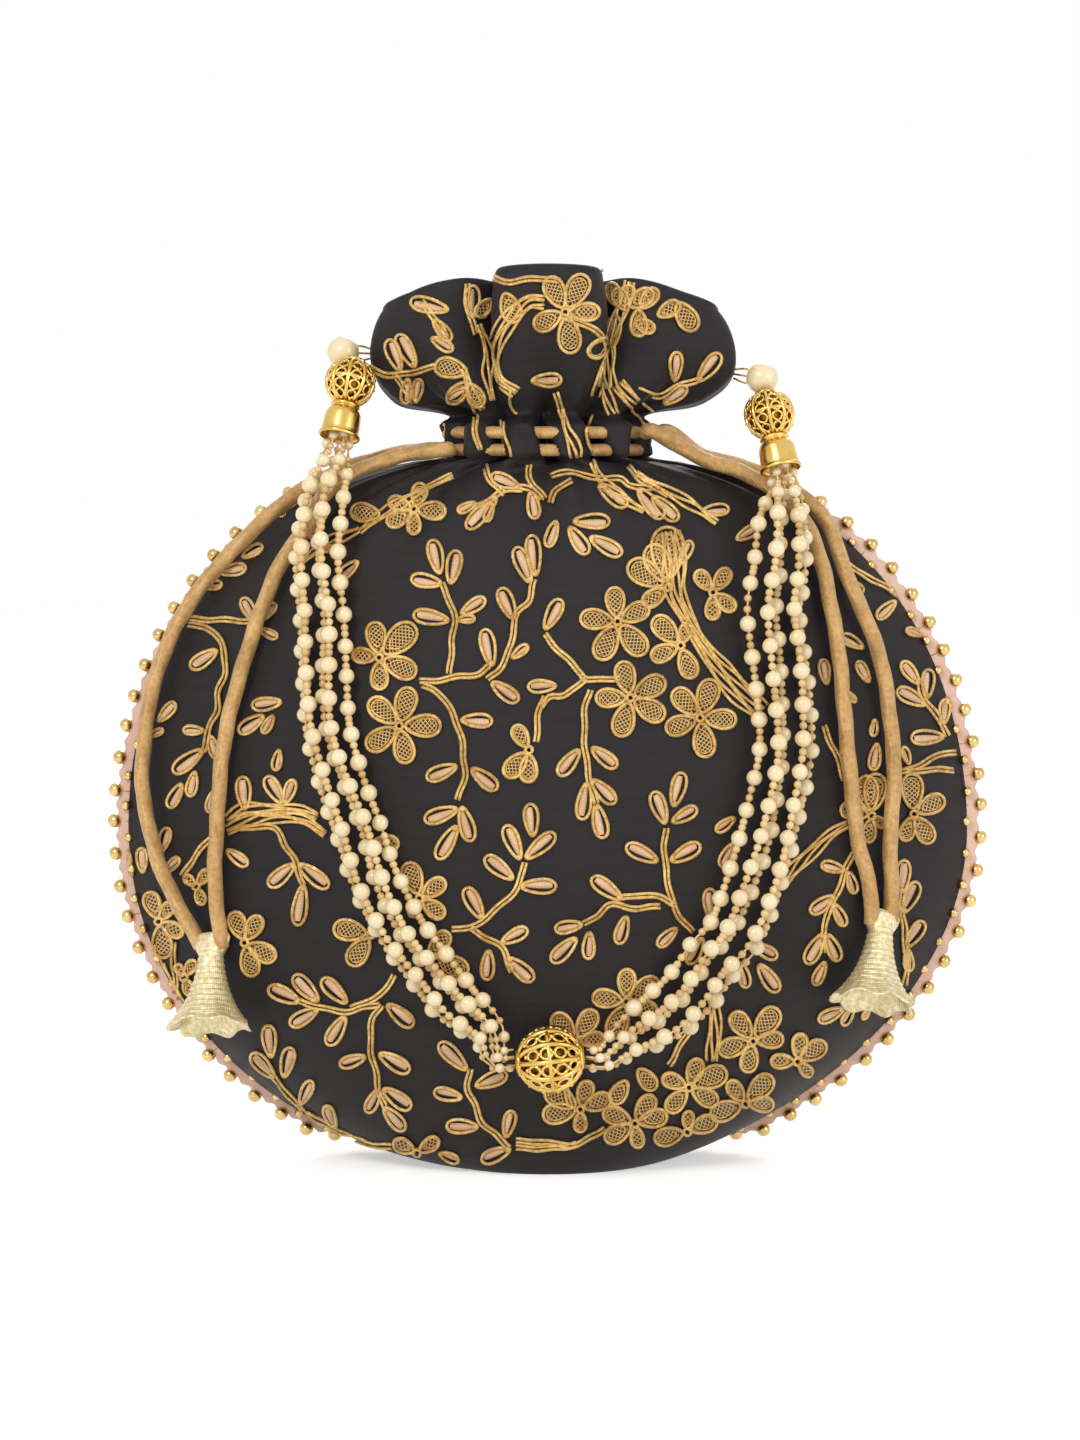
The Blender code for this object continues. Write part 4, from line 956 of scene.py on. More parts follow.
def rope(name, node, path, finish, twist=260, plies=3, relief=0.06):
    """A round cord of plies that wind along it."""
    sides = 15
    rows = []
    side = path[1] - path[0]
    side = side.orthogonal()
    for i, point in enumerate(path):
        before = path[max(i - 1, 0)]
        after = path[min(i + 1, len(path) - 1)]
        way = (after - before).normalized()
        side = (side - way * side.dot(way)).normalized()
        other = way.cross(side)
        row = []
        wind = i * 0.5 * MM * twist * 2
        for j in range(sides):
            turn = 2 * math.pi * j / sides
            size = 0.5 * CORD * (1 - relief + relief * math.cos(plies * turn + wind))
            row.append(point + size * (side * math.cos(turn) + other * math.sin(turn)))
        rows.append(row)
    shape = Shape()
    start = shape.grid(rows, True)
    shape.faces.append([start + j for j in range(sides)])
    last = len(shape.points) - sides
    shape.faces.append([last + j for j in range(sides)])
    return shape.made(name, finish, "bag", "gold_satin_cord", [node])


def hanging_path(label, part):
    side = -1 if label == "left" else 1
    turn = EXIT_ANGLES[0] if part == "outer" else EXIT_ANGLES[1]
    route = {"left_outer": LEFT_OUTER, "left_inner": LEFT_INNER,
             "right_outer": RIGHT_OUTER, "right_inner": RIGHT_INNER}[f"{label}_{part}"]
    height = LOW_TURN if label == "left" else HIGH_TURN
    centre, way = neck_place(math.radians(270 + side * turn), height)
    spots = [centre + way * (0.5 * CORD + CORD_SLACK), centre + way * (CORD + EXIT_RUN)]
    lift = (0.5 * CORD + CORD_SLACK) / MM
    spots += [on_skin(degrees, height_mm, lift)[0] for degrees, height_mm in route]
    return smooth_path(spots, 0.5 * MM)


def path_length(path):
    return sum((b - a).length for a, b in zip(path, path[1:]))


def bell_place(label):
    """The middle of a bell's top and the way that it hangs."""
    down = (LEFT_BELL_WAY if label == "left" else RIGHT_BELL_WAY).normalized()
    ends = [hanging_path(label, part)[-1] for part in ("outer", "inner")]
    middle = 0.5 * (ends[0] + ends[1])
    reach = max(end.dot(down) for end in ends) - middle.dot(down) + 0.5 * MM
    return middle + down * (reach + CLEARANCE), down


def bell_flare(share):
    spread = 0.25 * share + 0.75 * share ** 2.6
    return 0.5 * BELL_TOP + 0.5 * (BELL_LIP - BELL_TOP) * spread


def add_bell(label):
    """A bell of ribbon wound in rings, with a wavy lip and a gathered crown."""
    top, down = bell_place(label)
    windings = 13
    steps = windings * 4

    def lip(turn, along):
        share = min(max(along / BELL_HEIGHT, 0), 1)
        wave = share ** 5
        return (0.7 * MM * wave * math.cos(7 * turn), 0.7 * MM * wave * math.sin(7 * turn + 0.6))

    profile = [(0.0, 0.1 * MM), (0.35 * BELL_TOP, 0.0), (0.5 * BELL_TOP - 0.2 * MM, 0.15 * MM)]
    for i in range(1, steps + 1):
        share = i / steps
        rib = 0.22 * MM * abs(math.sin(math.pi * windings * share))
        profile.append((bell_flare(share) - 0.15 * MM + rib, BELL_HEIGHT * share - 0.2 * MM))
    for share in (1.0, 0.9, 0.75, 0.5, 0.3, 0.2):
        profile.append((bell_flare(share) - 0.9 * MM, BELL_HEIGHT * share - 0.3 * MM))
    profile.append((0.0, 0.2 * BELL_HEIGHT))
    shape = Shape()
    shape.grid(turned_rows(profile, 56, top, down, lip), True)
    ends = [hanging_path(label, part)[-1] for part in ("outer", "inner")]
    apart = ends[1] - ends[0]
    apart -= down * apart.dot(down)
    wide = 0.5 * apart.length + 0.5 * CORD
    apart.normalize()
    other = down.cross(apart)
    rows = []
    crown = ((-4.6, 0.86, 2.0), (-4.2, 1.0, 2.35), (-3.2, 1.06, 2.6), (-2.2, 1.0, 2.6),
             (-1.2, 0.9, 2.8), (-0.2, 0.76, 2.9), (0.6, 0.64, 2.8))
    for i, (along, share, thick) in enumerate(crown):
        row = []
        for j in range(40):
            turn = 2 * math.pi * j / 40
            rib = 1 + 0.035 * math.cos(10 * turn)
            row.append(top + down * along * MM + rib * (apart * wide * share * math.cos(turn)
                                                        + other * thick * MM * math.sin(turn)))
        rows.append(row)
    shape.grid(rows, True)
    return shape.made(f"{label}_bell", "zari", "bag", "pale_gold_ribbon", [f"bell_{label}"])


def add_drawcord(label, bell):
    """Two hanging strands and the turn round the neck."""
    for part in ("outer", "inner"):
        path = hanging_path(label, part)
        cord = rope(f"{label}_{part}_cord", f"drawcord_{label}_{part}", path, "drawcord")
    height = LOW_TURN if label == "left" else HIGH_TURN
    squeezed = 0.5 * (CORD - HIDDEN_CORD)
    ring = []
    for i in range(180):
        centre, way = neck_place(math.radians(2 * i), height)
        ring.append(centre - way * (squeezed + CORD_CLEARANCE))
    shape = Shape()
    shape.tube(ring, 0.5 * HIDDEN_CORD, 10, True)
    shape.made(f"{label}_neck_turn", "drawcord", "bag", "gold_satin_cord",
               [f"drawcord_turn_{label}"])


# Pouch

def smooth(low, high, value):
    share = min(max((value - low) / (high - low), 0), 1)
    return share * share * (3 - 2 * share)


def casing(angle, height):
    """How far the gathers stand over the drawcords, between the slots where these show."""
    slanted = angle + CASING_SLANT * (height - 0.5 * (CASING_LOW + CASING_HIGH))
    ridge = 0.5 - 0.5 * math.cos(PLEATS * slanted + 0.35 * math.sin(3 * angle))
    over = smooth(CASING_LOW, CASING_LOW + 3 * MM, height)
    over *= 1 - smooth(CASING_HIGH - 3 * MM, CASING_HIGH, height)
    fold = 0.5 + 0.5 * math.cos(FINE_GATHERS * angle + 1.6 * math.sin(5 * angle))
    swell = CASING_SWELL - CASING_GROOVES * fold + CASING_FILL * PLEAT_DEPTH * (1 - ridge)
    swell *= 1 - CASING_SIDES * math.cos(angle) ** 6
    slot = 0.1 + 0.08 * math.sin(5 * angle + 1)
    return over * smooth(slot, slot + 0.16, ridge) * swell


def fine_folds(angle, height):
    """Small puckers near the neck, and longer folds that run out over the shoulders."""
    below = max(NECK_HEIGHT - height, 0)
    away = max(below, height - BAND_TOP, 0)
    fold = 0.5 + 0.5 * math.cos(FINE_GATHERS * angle + 1.6 * math.sin(5 * angle))
    inset = FINE_DEPTH * fold * math.exp(-away / FINE_REACH) * smooth(0, 4 * MM, away)
    fold = (0.5 + 0.5 * math.cos(SHOULDER_FOLDS * angle + 1.3 * math.sin(3 * angle))) ** 2
    return inset + SHOULDER_DEPTH * fold * smooth(0, 3 * MM, below) * math.exp(-below
                                                                            / SHOULDER_REACH)


def valley(angle, height):
    """How near a place is to a valley between two lobes of the ruffle, from 0 to 1."""
    turn = math.degrees(angle) % 360
    off = min(abs((turn - v + 180) % 360 - 180) for v in LOBE_VALLEYS) / VALLEY_WIDTH
    return math.exp(-off * off) * smooth(BAND_TOP, BAND_TOP + 0.5 * RISE_FRONT, height)


def droop(angle, height):
    """How much of its sag a place on the ruffle's side lobes has, from 0 to 1."""
    rising = smooth(BAND_TOP, BAND_TOP + 0.35 * RISE_FRONT, height)
    return rising * (1 - smooth(BAND_TOP + 0.45 * RISE_FRONT, RUFFLE_TOP, height)) * math.cos(angle) ** 2


def cloth(angle, height, deeper=0.0):
    """A point of the gathered cloth."""
    inset = pleat_inset(angle, height) + fine_folds(angle, height) - casing(angle, height)
    plain = skin(angle, height)
    soft = noise.noise(Vector((plain.x * 26, plain.y * 26 + 3, plain.z * 22)))
    fade = min(height / (20 * MM), 1) * min(abs(math.sin(angle)) * 4, 1)
    if CASING_LOW < height < CASING_HIGH:
        fade *= 0.3
    inset += SOFT_WAVES * (0.5 + 0.5 * soft) * fade
    billow = noise.noise(Vector((plain.x * 55 + 7, plain.y * 55, plain.z * 30)))
    inset += RUFFLE_WAVES * (0.3 + 0.7 * billow) * smooth(BAND_TOP, BAND_TOP + 14 * MM, height)
    dip = valley(angle, height)
    sag = droop(angle, height)
    inset -= LOBE_SWELL * sag
    spot = skin(angle, height, inset + VALLEY_DEPTH * dip + deeper)
    spot.z -= VALLEY_DROP * dip * smooth(BAND_TOP, RUFFLE_TOP, height) + LOBE_DROOP * sag
    return spot


def cloth_heights():
    low = [0, 0.4, 1, 2, 3.5, 5]
    body = [7 + 2.2 * i for i in range(70)]
    neck = [162 + 0.9 * i for i in range(31)]
    ruffle = [190.5 + 1.5 * i for i in range(21)]
    return [h * MM for h in low + body + neck + ruffle] + [RUFFLE_TOP]


def hem_rows(angles):
    """The top edge rolled in and down inside the ruffle."""
    rows = []
    for step in range(1, 8):
        turn = math.pi * step / 7
        row = []
        for angle in angles:
            edge = cloth(angle, RUFFLE_TOP)
            inner = cloth(angle, RUFFLE_TOP, 2 * HEM_ROLL)
            middle = edge.lerp(inner, 0.5 - 0.5 * math.cos(turn))
            row.append(middle + Vector((0, 0, HEM_ROLL * math.sin(turn))))
        rows.append(row)
    for step in range(1, 6):
        drop = HEM_DEPTH * step / 5
        rows.append([cloth(angle, RUFFLE_TOP - drop, 2 * HEM_ROLL) for angle in angles])
    return rows


def panel(name, node, first):
    """Half of the pouch, from the middle of the base up to the hem inside the ruffle."""
    half = COLUMNS // 2
    angles = [first + math.pi * i / half for i in range(half + 1)]
    rows = []
    for share in (0.02, 0.35, 0.7, 0.93):
        row = []
        for angle in angles:
            edge = cloth(angle, 0)
            row.append(Vector((edge.x * share, edge.y * share, 0.15 * MM * (1 - share))))
        rows.append(row)
    rows += [[cloth(angle, height) for angle in angles] for height in cloth_heights()]
    rows += hem_rows(angles)
    shape = Shape()
    shape.grid(rows)
    return shape.made(name, "fabric", "bag", "black_satin", [node])


def add_lining():
    """The blush lining, seen down the mouth."""
    angles = [2 * math.pi * i / 144 for i in range(144)]
    heights = [RUFFLE_TOP - HEM_DEPTH + 2 * MM - i * 2.2 * MM for i in range(14)]
    heights += [(178 - 6 * i) * MM for i in range(29)]
    rows = []
    for height in heights:
        depth = 2 * HEM_ROLL + 0.3 * MM if height > BAND_TOP else LINING_DEPTH
        rows.append([cloth(angle, height, depth + casing(angle, height)) for angle in angles])
    shape = Shape()
    start = shape.grid(rows, True)
    last = start + (len(rows) - 1) * len(angles)
    shape.faces.append([last + i for i in range(len(angles))])
    shape.made("lining_cloth", "lining", "bag", "blush_lining", ["lining"])


# Rim

def slope(height):
    """Way out of the side seam: sideways and upward."""
    step = 0.5 * MM
    low = max(height - step, 0)
    high = min(height + step, NECK_HEIGHT)
    run = half_sizes(high)[1] - half_sizes(low)[1]
    climb = high - low
    length = math.hypot(run, climb)
    return climb / length, -run / length


def rim_route():
    """The seam from the right of the neck round behind the base to the left, with outward ways."""
    heights = [share * RIM_TOP for share in RIM_SHARES]
    heights += [SEAM_FOOT + LARGE_BEAD_REACH + SMALL_BEAD_REACH, SEAM_FOOT + SMALL_BEAD_REACH]
    sides = []
    for angle, turn in ((0.0, 1), (math.pi, -1)):
        side = []
        for height in heights:
            sideways, upward = slope(height)
            way = Vector((turn * sideways, 0, max(upward, -RIM_MAX_DROOP))).normalized()
            side.append((skin(angle, height), way))
        sides.append(side)
    behind = []
    for degrees in range(20, 161, 10):
        way = outward(math.radians(degrees), SEAM_FOOT)
        way = Vector((way.x, way.y, max(way.z, -RIM_MAX_DROOP))).normalized()
        behind.append((skin(math.radians(degrees), SEAM_FOOT), way))
    return sides[0] + behind + sides[1][::-1]


def add_rim():
    """Folded blush tape over the seam, with gold beads sewn to its edge."""
    route = rim_route()
    step = 0.5 * MM
    path = smooth_path([p for p, way in route], step)
    ways = smooth_path([p + way * 5 * MM for p, way in route], step)
    total = path_length(path)
    frames = []
    for i, spot in enumerate(path):
        tangent = (path[min(i + 1, len(path) - 1)] - path[max(i - 1, 0)]).normalized()
        share = i / (len(path) - 1)
        way = ways[min(round(share * (len(ways) - 1)), len(ways) - 1)] - spot
        way = (way - tangent * way.dot(tangent)).normalized()
        frames.append((spot, way, tangent.cross(way)))
    rows = []
    for i, (spot, way, across) in enumerate(frames):
        along = i / (len(frames) - 1) * total
        scallop = 0.35 * MM * math.cos(2 * math.pi * along / (0.5 * RIM_BEAD_PITCH))
        out = TAPE_REACH + scallop
        row = []
        for reach, side in ((-TAPE_COVER - scallop, -1.9), (-TAPE_COVER * 0.45, -1.25),
                            (0.0, -0.75), (0.7 * out, -0.42), (out, -0.1), (out, 0.1),
                            (0.7 * out, 0.42), (0.0, 0.75), (-TAPE_COVER * 0.45, 1.25),
                            (-TAPE_COVER - scallop, 1.9)):
            row.append(spot + way * reach + across * side * MM)
        rows.append(row)
    shape = Shape()
    shape.grid(rows)
    shape.made("rim_tape", "tape", "bag", "blush_lining", ["rim_trim"])
    beads = round(total / RIM_BEAD_PITCH)
    large = Shape()
    small = Shape()
    thread = Shape()
    for i in range(2 * beads):
        share = (0.5 * i + 0.25) / beads
        spot, way, across = frames[round(share * (len(frames) - 1))]
        lean = 0.35 * MM * math.sin(2.4 * i)
        if i % 2 == 0:
            centre = spot + way * LARGE_BEAD_REACH + across * lean
            large.ball(centre, 0.5 * LARGE_RIM_BEAD, 16, 10, across)
            thread.tube([spot - way * 0.8 * MM + across * 0.9 * MM, centre - way * 1.2 * MM],
                        0.22 * MM, 4)
        else:
            for face in (-1, 1):
                centre = spot - way * (SMALL_BEAD_INSET + 1.5 * lean) + across * face * 1.7 * MM
                small.ball(centre, 0.5 * SMALL_RIM_BEAD, 12, 8, across)
    large.made("large_rim_beads", "rim_bead", "bag", "gold_rim_beads")
    small.made("small_rim_beads", "rim_bead", "bag", "gold_rim_beads")
    thread.made("rim_bead_threads", "outline", "bag", "gold_rim_beads")


# Handle

def centre_ball_place():
    """The centre ball rests on the front of the pouch."""
    share = CENTRE_BALL_SIDE / half_sizes(CENTRE_BALL_HEIGHT)[1]
    return on_skin(270 + math.degrees(share), CENTRE_BALL_HEIGHT / MM,
                   (0.5 * CENTRE_BALL + CLEARANCE) / MM)


def bundle_path(ball_centre, direction, route, side):
    """The middle of a bundle from inside its cap to the centre ball, with outward ways."""
    start = 0.5 * END_BALL + CLEARANCE + CAP_LENGTH - CAP_CUP_DEPTH + CLEARANCE
    mouth = 0.5 * END_BALL + CLEARANCE + CAP_LENGTH
    front = Vector((0, -1, 0.2)).normalized()
    spots = [(ball_centre + direction * reach, front) for reach in (start, mouth, mouth + END_RUN)]
    spots += [on_skin(*place) for place in route]
    centre, out = centre_ball_place()
    for reach in (0.5 * CENTRE_BALL + END_RUN, 0.5 * CENTRE_BALL + CLEARANCE):
        spots.append((centre + Vector((side, 0, 0)) * reach, out))
    middle = smooth_path([p for p, out in spots], 0.5 * MM)
    outs = smooth_path([p + out * 10 * MM for p, out in spots], 0.5 * MM)
    return middle, outs


def bundle_frame(middle, outs, total, distance, offset, spacing):
    """A strand's middle at a distance along the bundle, and how far the bundle has spread."""
    share = min(max(distance / total, 0), 1)
    at = min(max(round(share * (len(middle) - 1)), 1), len(middle) - 2)
    tangent = (middle[at + 1] - middle[at - 1]).normalized()
    spot = middle[min(round(share * (len(middle) - 1)), len(middle) - 1)]
    out = outs[min(round(share * (len(outs) - 1)), len(outs) - 1)] - spot
    out = (out - tangent * out.dot(tangent)).normalized()
    side = tangent.cross(out)
    ramp = smooth(0, 1, min(distance, total - distance) / BUNDLE_FLARE)
    spread = BUNDLE_WAIST + (1 - BUNDLE_WAIST) * ramp
    across = offset[0] * (spacing * ramp + WAIST_SPREAD * (1 - ramp))
    sway = 0.35 * MM * ramp * math.sin(distance / (9 * MM) + 3 * offset[0] + 90 * offset[1])
    return spot + side * (across + sway) + out * offset[1] * spread, tangent, spread


def add_strands(label, middle, outs, spacing):
    """Five strands of pearls with small beads between them."""
    pearls = Shape()
    seeds = Shape()
    threads = Shape()
    total = path_length(middle)
    closest = math.hypot(0.5 * STRAND_SPREAD_LEFT, STRAND_LAYER)
    layer = 0.5 * STRAND_LAYER
    places = ((-1, -layer), (0, -layer), (1, -layer), (-0.5, layer), (0.5, layer))
    for number, place in enumerate(places):
        line = [bundle_frame(middle, outs, total, total * i / 90, place, spacing)[0]
                for i in range(91)]
        threads.tube(line, 0.3 * MM, 5)
        count = int((total - PEARL_PITCH) / PEARL_PITCH)
        pitch = total / (count + 1)
        phase = (0.22, -0.2, 0.3, -0.12, 0.05)[number]
        for i in range(count + 1):
            at = (i + 0.5 + phase) * pitch
            if 1.2 * MM < at < total - 1.2 * MM:
                spot, tangent, spread = bundle_frame(middle, outs, total, at, place, spacing)
                size = min(0.5 * PEARL, 0.5 * (closest * spread - 0.1 * MM))
                pearls.ball(spot, size * (1 + 0.04 * math.sin(5.3 * i + number)), 16, 10, tangent)
            for share in (0.382, 0.618):
                at = (i + 0.5 + phase + share) * pitch
                if 0.8 * MM < at < total - 0.8 * MM:
                    spot, tangent, spread = bundle_frame(middle, outs, total, at, place, spacing)
                    seeds.ball(spot, 0.5 * SEED * min(0.4 + 0.7 * spread, 1), 10, 6, tangent)
    pearls.made(f"{label}_pearls", "pearl", "handle", "cream_pearl",
                [f"strand_{label}_{n}" for n in range(1, 6)])
    seeds.made(f"{label}_seed_beads", "seed", "handle", "gold_filigree")
    threads.made(f"{label}_strand_threads", "seed", "handle", "cream_pearl")


def filigree(name, node, centre, diameter, axis, ribs, core_share=0.8):
    """A hollow gold ball of pierced work: ribs, rings, scrolls and grains over a dark core ball, which
    paints the shade inside the hollow.
    """
    radius = 0.5 * diameter
    axis = axis.normalized()
    side = axis.orthogonal().normalized()
    other = axis.cross(side)

    def spot(turn, tilt, reach=1.0):
        ring = math.sin(tilt)
        return centre + radius * reach * (axis * math.cos(tilt)
                                          + (side * math.cos(turn) + other * math.sin(turn)) * ring)

    wire = 0.055 * radius + 0.12 * MM
    shape = Shape()
    for i in range(ribs):
        turn = 2 * math.pi * i / ribs
        shape.tube([spot(turn, 0.2 + 2.74 * j / 18, 0.93) for j in range(19)], 1.25 * wire, 6)
        gap = math.pi / ribs
        for tilt in (0.75, 1.2, 1.65, 2.1):
            loop = []
            for j in range(12):
                swing = 2 * math.pi * j / 12
                loop.append(spot(turn + gap + 0.62 * gap * math.cos(swing) / math.sin(tilt) ** 0.4,
                                 tilt + 0.19 * math.sin(swing), 0.935))
            shape.tube(loop, 0.75 * wire, 5, True)
        for tilt in (0.52, 0.98, 1.43, 1.88, 2.35):
            shape.ball(spot(turn + gap, tilt, 0.95), 1.05 * wire, 8, 6)
    for tilt in (0.24, 0.36, 2.78, 2.9):
        ring = [spot(2 * math.pi * j / 40, tilt, 0.96) for j in range(40)]
        shape.tube(ring, 1.3 * wire, 6, True)
    ring = [spot(2 * math.pi * j / 48, 0.5 * math.pi, 0.93) for j in range(48)]
    shape.tube(ring, wire, 6, True)
    shape.made(name, "gold", "handle", "gold_filigree", [node])
    # Painted shade: a dark gold ball inside the cage stands for the shaded hollow seen through the
    # openwork.
    core = Shape()
    core.ball(centre, core_share * radius, 32, 20, axis)
    core.made(f"{name}_core", "painted_shade_core", "handle", "gold_filigree")


def add_cap(label, ball_centre, direction):
    """A plain gold cap with a rolled collar and lip."""
    top = 0.5 * END_BALL - 0.5 * MM
    mouth = 0.5 * END_BALL + CLEARANCE + CAP_LENGTH
    shoulder = 0.5 * END_BALL + CLEARANCE + CAP_SHOULDER_DROP
    neck = 0.5 * CAP_NECK
    lip = 0.5 * CAP_MOUTH
    profile = [(0.2 * MM, top), (neck - 0.3 * MM, top)]
    for i in range(7):
        turn = math.pi * i / 6
        profile.append((neck + 0.45 * MM * math.sin(turn), top + (0.5 - 0.5 * math.cos(turn)) * MM))
    for i in range(1, 9):
        share = i / 8
        bow = math.sin(0.5 * math.pi * share)
        profile.append((neck + (0.5 * CAP_SHOULDER - neck) * bow,
                        top + 1 * MM + (shoulder - top - 1 * MM) * share))
    profile.append((0.5 * CAP_SHOULDER + 0.2 * MM, mouth - 2.2 * MM))
    profile.append((lip - 0.45 * MM, mouth - 1.3 * MM))
    for i in range(9):
        turn = math.pi * i / 8
        profile.append((lip - 0.35 * MM + 0.5 * MM * math.sin(turn),
                        mouth - (0.5 + 0.5 * math.cos(turn)) * MM))
    profile += [(lip - 0.9 * MM, mouth - 0.8 * MM), (lip - 1.1 * MM, mouth - CAP_CUP_DEPTH),
                (0.1 * MM, mouth - CAP_CUP_DEPTH)]
    shape = Shape()
    shape.grid(turned_rows(profile, 48, ball_centre, direction), True)
    shape.made(f"{label}_cap", "gold", "handle", "gold_filigree", [f"end_cap_{label}"])


def add_tie(label, pearl, cloth_tree):
    """Threads that tie the end pearl to the side of the ruffle."""
    side = -1 if label == "left" else 1
    shape = Shape()
    anchor = cloth_tree.find_nearest(pearl + Vector((-side * 3 * MM, 2 * MM, 0)))[0]
    for k in range(3):
        swing = Vector((0, (k - 1) * 0.9 * MM, (k - 1) * 1.1 * MM))
        middle = 0.5 * (pearl + anchor) + 1.6 * swing + Vector((0, -0.6 * MM, 0))
        shape.tube(smooth_path([pearl, middle, anchor + swing], 0.5 * MM), 0.28 * MM, 5)
    piece = shape.made(f"{label}_tie", "outline", None, "gold_satin_cord")
    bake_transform(piece)


def add_handle(cloth_tree):
    """End pearls, balls and caps, the strands, and the centre ball."""
    sides = (("left", -1, LEFT_BALL, LEFT_PEARL_SHIFT, LEFT_PEARL_RISE, LEFT_BUNDLE,
              STRAND_SPREAD_LEFT),
             ("right", 1, RIGHT_BALL, RIGHT_PEARL_SHIFT, RIGHT_PEARL_RISE, RIGHT_BUNDLE,
              STRAND_SPREAD_RIGHT))
    for label, side, centre, shift, rising, route, spacing in sides:
        direction = Vector((side * CAP_SPLAY, -CAP_FORWARD, -1)).normalized()
        touching = 0.5 * (END_BALL + END_PEARL) + CLEARANCE
        behind = math.sqrt(touching ** 2 - shift ** 2 - rising ** 2)
        pearl = centre + Vector((side * shift, behind, rising))
        shape = Shape()
        shape.ball(pearl, 0.5 * END_PEARL, 36, 22)
        shape.made(f"{label}_end_pearl", "pearl", "handle", "cream_pearl", [f"end_pearl_{label}"])
        filigree(f"{label}_end_ball", f"end_ball_{label}", centre, END_BALL, direction, 9)
        add_cap(label, centre, direction)
        middle, outs = bundle_path(centre, direction, route, side)
        add_strands(label, middle, outs, spacing)
        add_tie(label, pearl, cloth_tree)
    centre, out = centre_ball_place()
    filigree("middle_ball", "centre_ball", centre, CENTRE_BALL, Vector((1, 0, 0.12)), 11)


# Embroidery

class Embroidery:
    """Couched cords and satin pads laid on one side of the pouch."""

    def __init__(self, tree, behind):
        self.tree = tree
        self.turn = -1 if behind else 1
        lean = math.sin(CAMERA_ELEVATION)
        level = math.cos(CAMERA_ELEVATION)
        self.up = Vector((0, self.turn * lean, level))
        way = Vector((0, -self.turn * level, lean))
        self.target = Vector((self.turn * CAMERA_TARGET.x, 0, CAMERA_TARGET.z))
        self.eye = self.target + way * CAMERA_DISTANCE
        self.outline = Shape()
        self.leaf = Shape()
        self.mesh = Shape()
        self.count = 0

    def spot(self, x, z, lift):
        """The place on the cloth behind a point of the picture plane, raised a little."""
        seen = self.target + Vector((self.turn * x * MM, 0, 0)) + self.up * (z * MM - self.target.z)
        way = (seen - self.eye).normalized()
        place, normal, face, distance = self.tree.ray_cast(self.eye, way)
        if place is None:
            place, normal, face, distance = self.tree.find_nearest(seen)
        if normal.dot(way) > 0:
            normal = -normal
        raised = place + normal * lift * MM
        raised.z = max(raised.z, 0.5 * MM)
        return raised

    def follow(self, points, step):
        """Even points of the picture plane along a smooth line."""
        return [(p.x, p.y) for p in smooth_path([Vector((x, z, 0)) for x, z in points], step)]

    def cord(self, points, lift=0.35, closed=False, size=1.0):
        path = [self.spot(x, z, lift) for x, z in points]
        return self.lay(path, size * CORD_RADIUS, closed)

    def lay(self, path, radius, closed=False):
        """A cord along the path, broken where the cloth drops away behind a fold.

        A closed shape of which too little would show is left out.
        """
        runs = [[path[0]]]
        for point in path[1:]:
            gap = (point - runs[-1][-1]).length
            if gap > MAX_STEP:
                runs.append([point])
            elif gap > 0.15 * MM:
                runs[-1].append(point)
        whole = len(runs) == 1 and (path[0] - path[-1]).length < MAX_STEP
        if closed and not whole:
            runs = [max(runs, key=len)]
            if len(runs[0]) < SHOWN_SHARE * len(path):
                return False
        for run in runs:
            if len(run) > 4:
                self.outline.tube(run, radius, 5, closed and whole)
        return True

    def on_casing(self, x, z):
        """Whether a place of the picture plane lies on the gathers over the drawcords."""
        return CASING_LOW - 1.5 * MM < self.spot(x, z, 0).z < CASING_HIGH

    def drop(self, base, tip, width, round_end, count):
        """Points round a drop shape from its pointed base, and its own directions."""
        along = Vector((tip[0] - base[0], tip[1] - base[1]))
        across = Vector((-along.y, along.x)).normalized()
        points = []
        for i in range(count):
            turn = 2 * math.pi * i / count
            share = 0.5 - 0.5 * math.cos(turn)
            half = 0.5 * width * math.sin(turn) * (0.55 + 0.45 * share ** round_end)
            spot = Vector(base) + along * share + across * half
            points.append((spot.x, spot.y))
        return points, along, across

    def pad(self, shape, base, along, across, width, round_end, lift, crown, keep, shift):
        """A domed filling within a drop shape."""
        rows = []
        start = len(shape.points)
        for i in range(7):
            share = 0.1 + 0.8 * i / 6
            half = 0.5 * width * 2 * math.sqrt(share * (1 - share))
            half *= 0.55 + 0.45 * share ** round_end
            row = []
            for j in range(6):
                side = -1 + 2 * j / 5
                place = Vector(base) + along * share + across * half * (keep * side + shift)
                dome = lift + crown * (1 - side * side) * math.sin(math.pi * share) ** 0.5
                row.append(self.spot(place.x, place.y, dome))
                mark = (share * along.length, half * side)
                shape.marks[start + i * 6 + j] = mark
            rows.append(row)
        steps = [(a - b).length for row in rows for a, b in zip(row, row[1:])]
        steps += [(a - b).length for low, high in zip(rows, rows[1:]) for a, b in zip(low, high)]
        if max(steps) < MAX_STEP:
            shape.grid(rows)

    def add_leaf(self, x0, z0, x1, z1):
        if self.on_casing(x0, z0) or self.on_casing(x1, z1):
            return
        length = math.hypot(x1 - x0, z1 - z0)
        width = min(LEAF_WIDTH * length, LEAF_MAX_WIDTH)
        points, along, across = self.drop((x0, z0), (x1, z1), width, 1.2, 20)
        if not self.cord(points, 0.4, True):
            return
        self.cord([(x0 + 0.12 * (p[0] - x0), z0 + 0.12 * (p[1] - z0)) for p in points], 0.5, True)
        self.count += 1
        shift = 0.2 if self.count % 2 else -0.2
        self.pad(self.leaf, (x0, z0), along, across, width, 1.2, 0.1, 0.65, 0.55, shift)

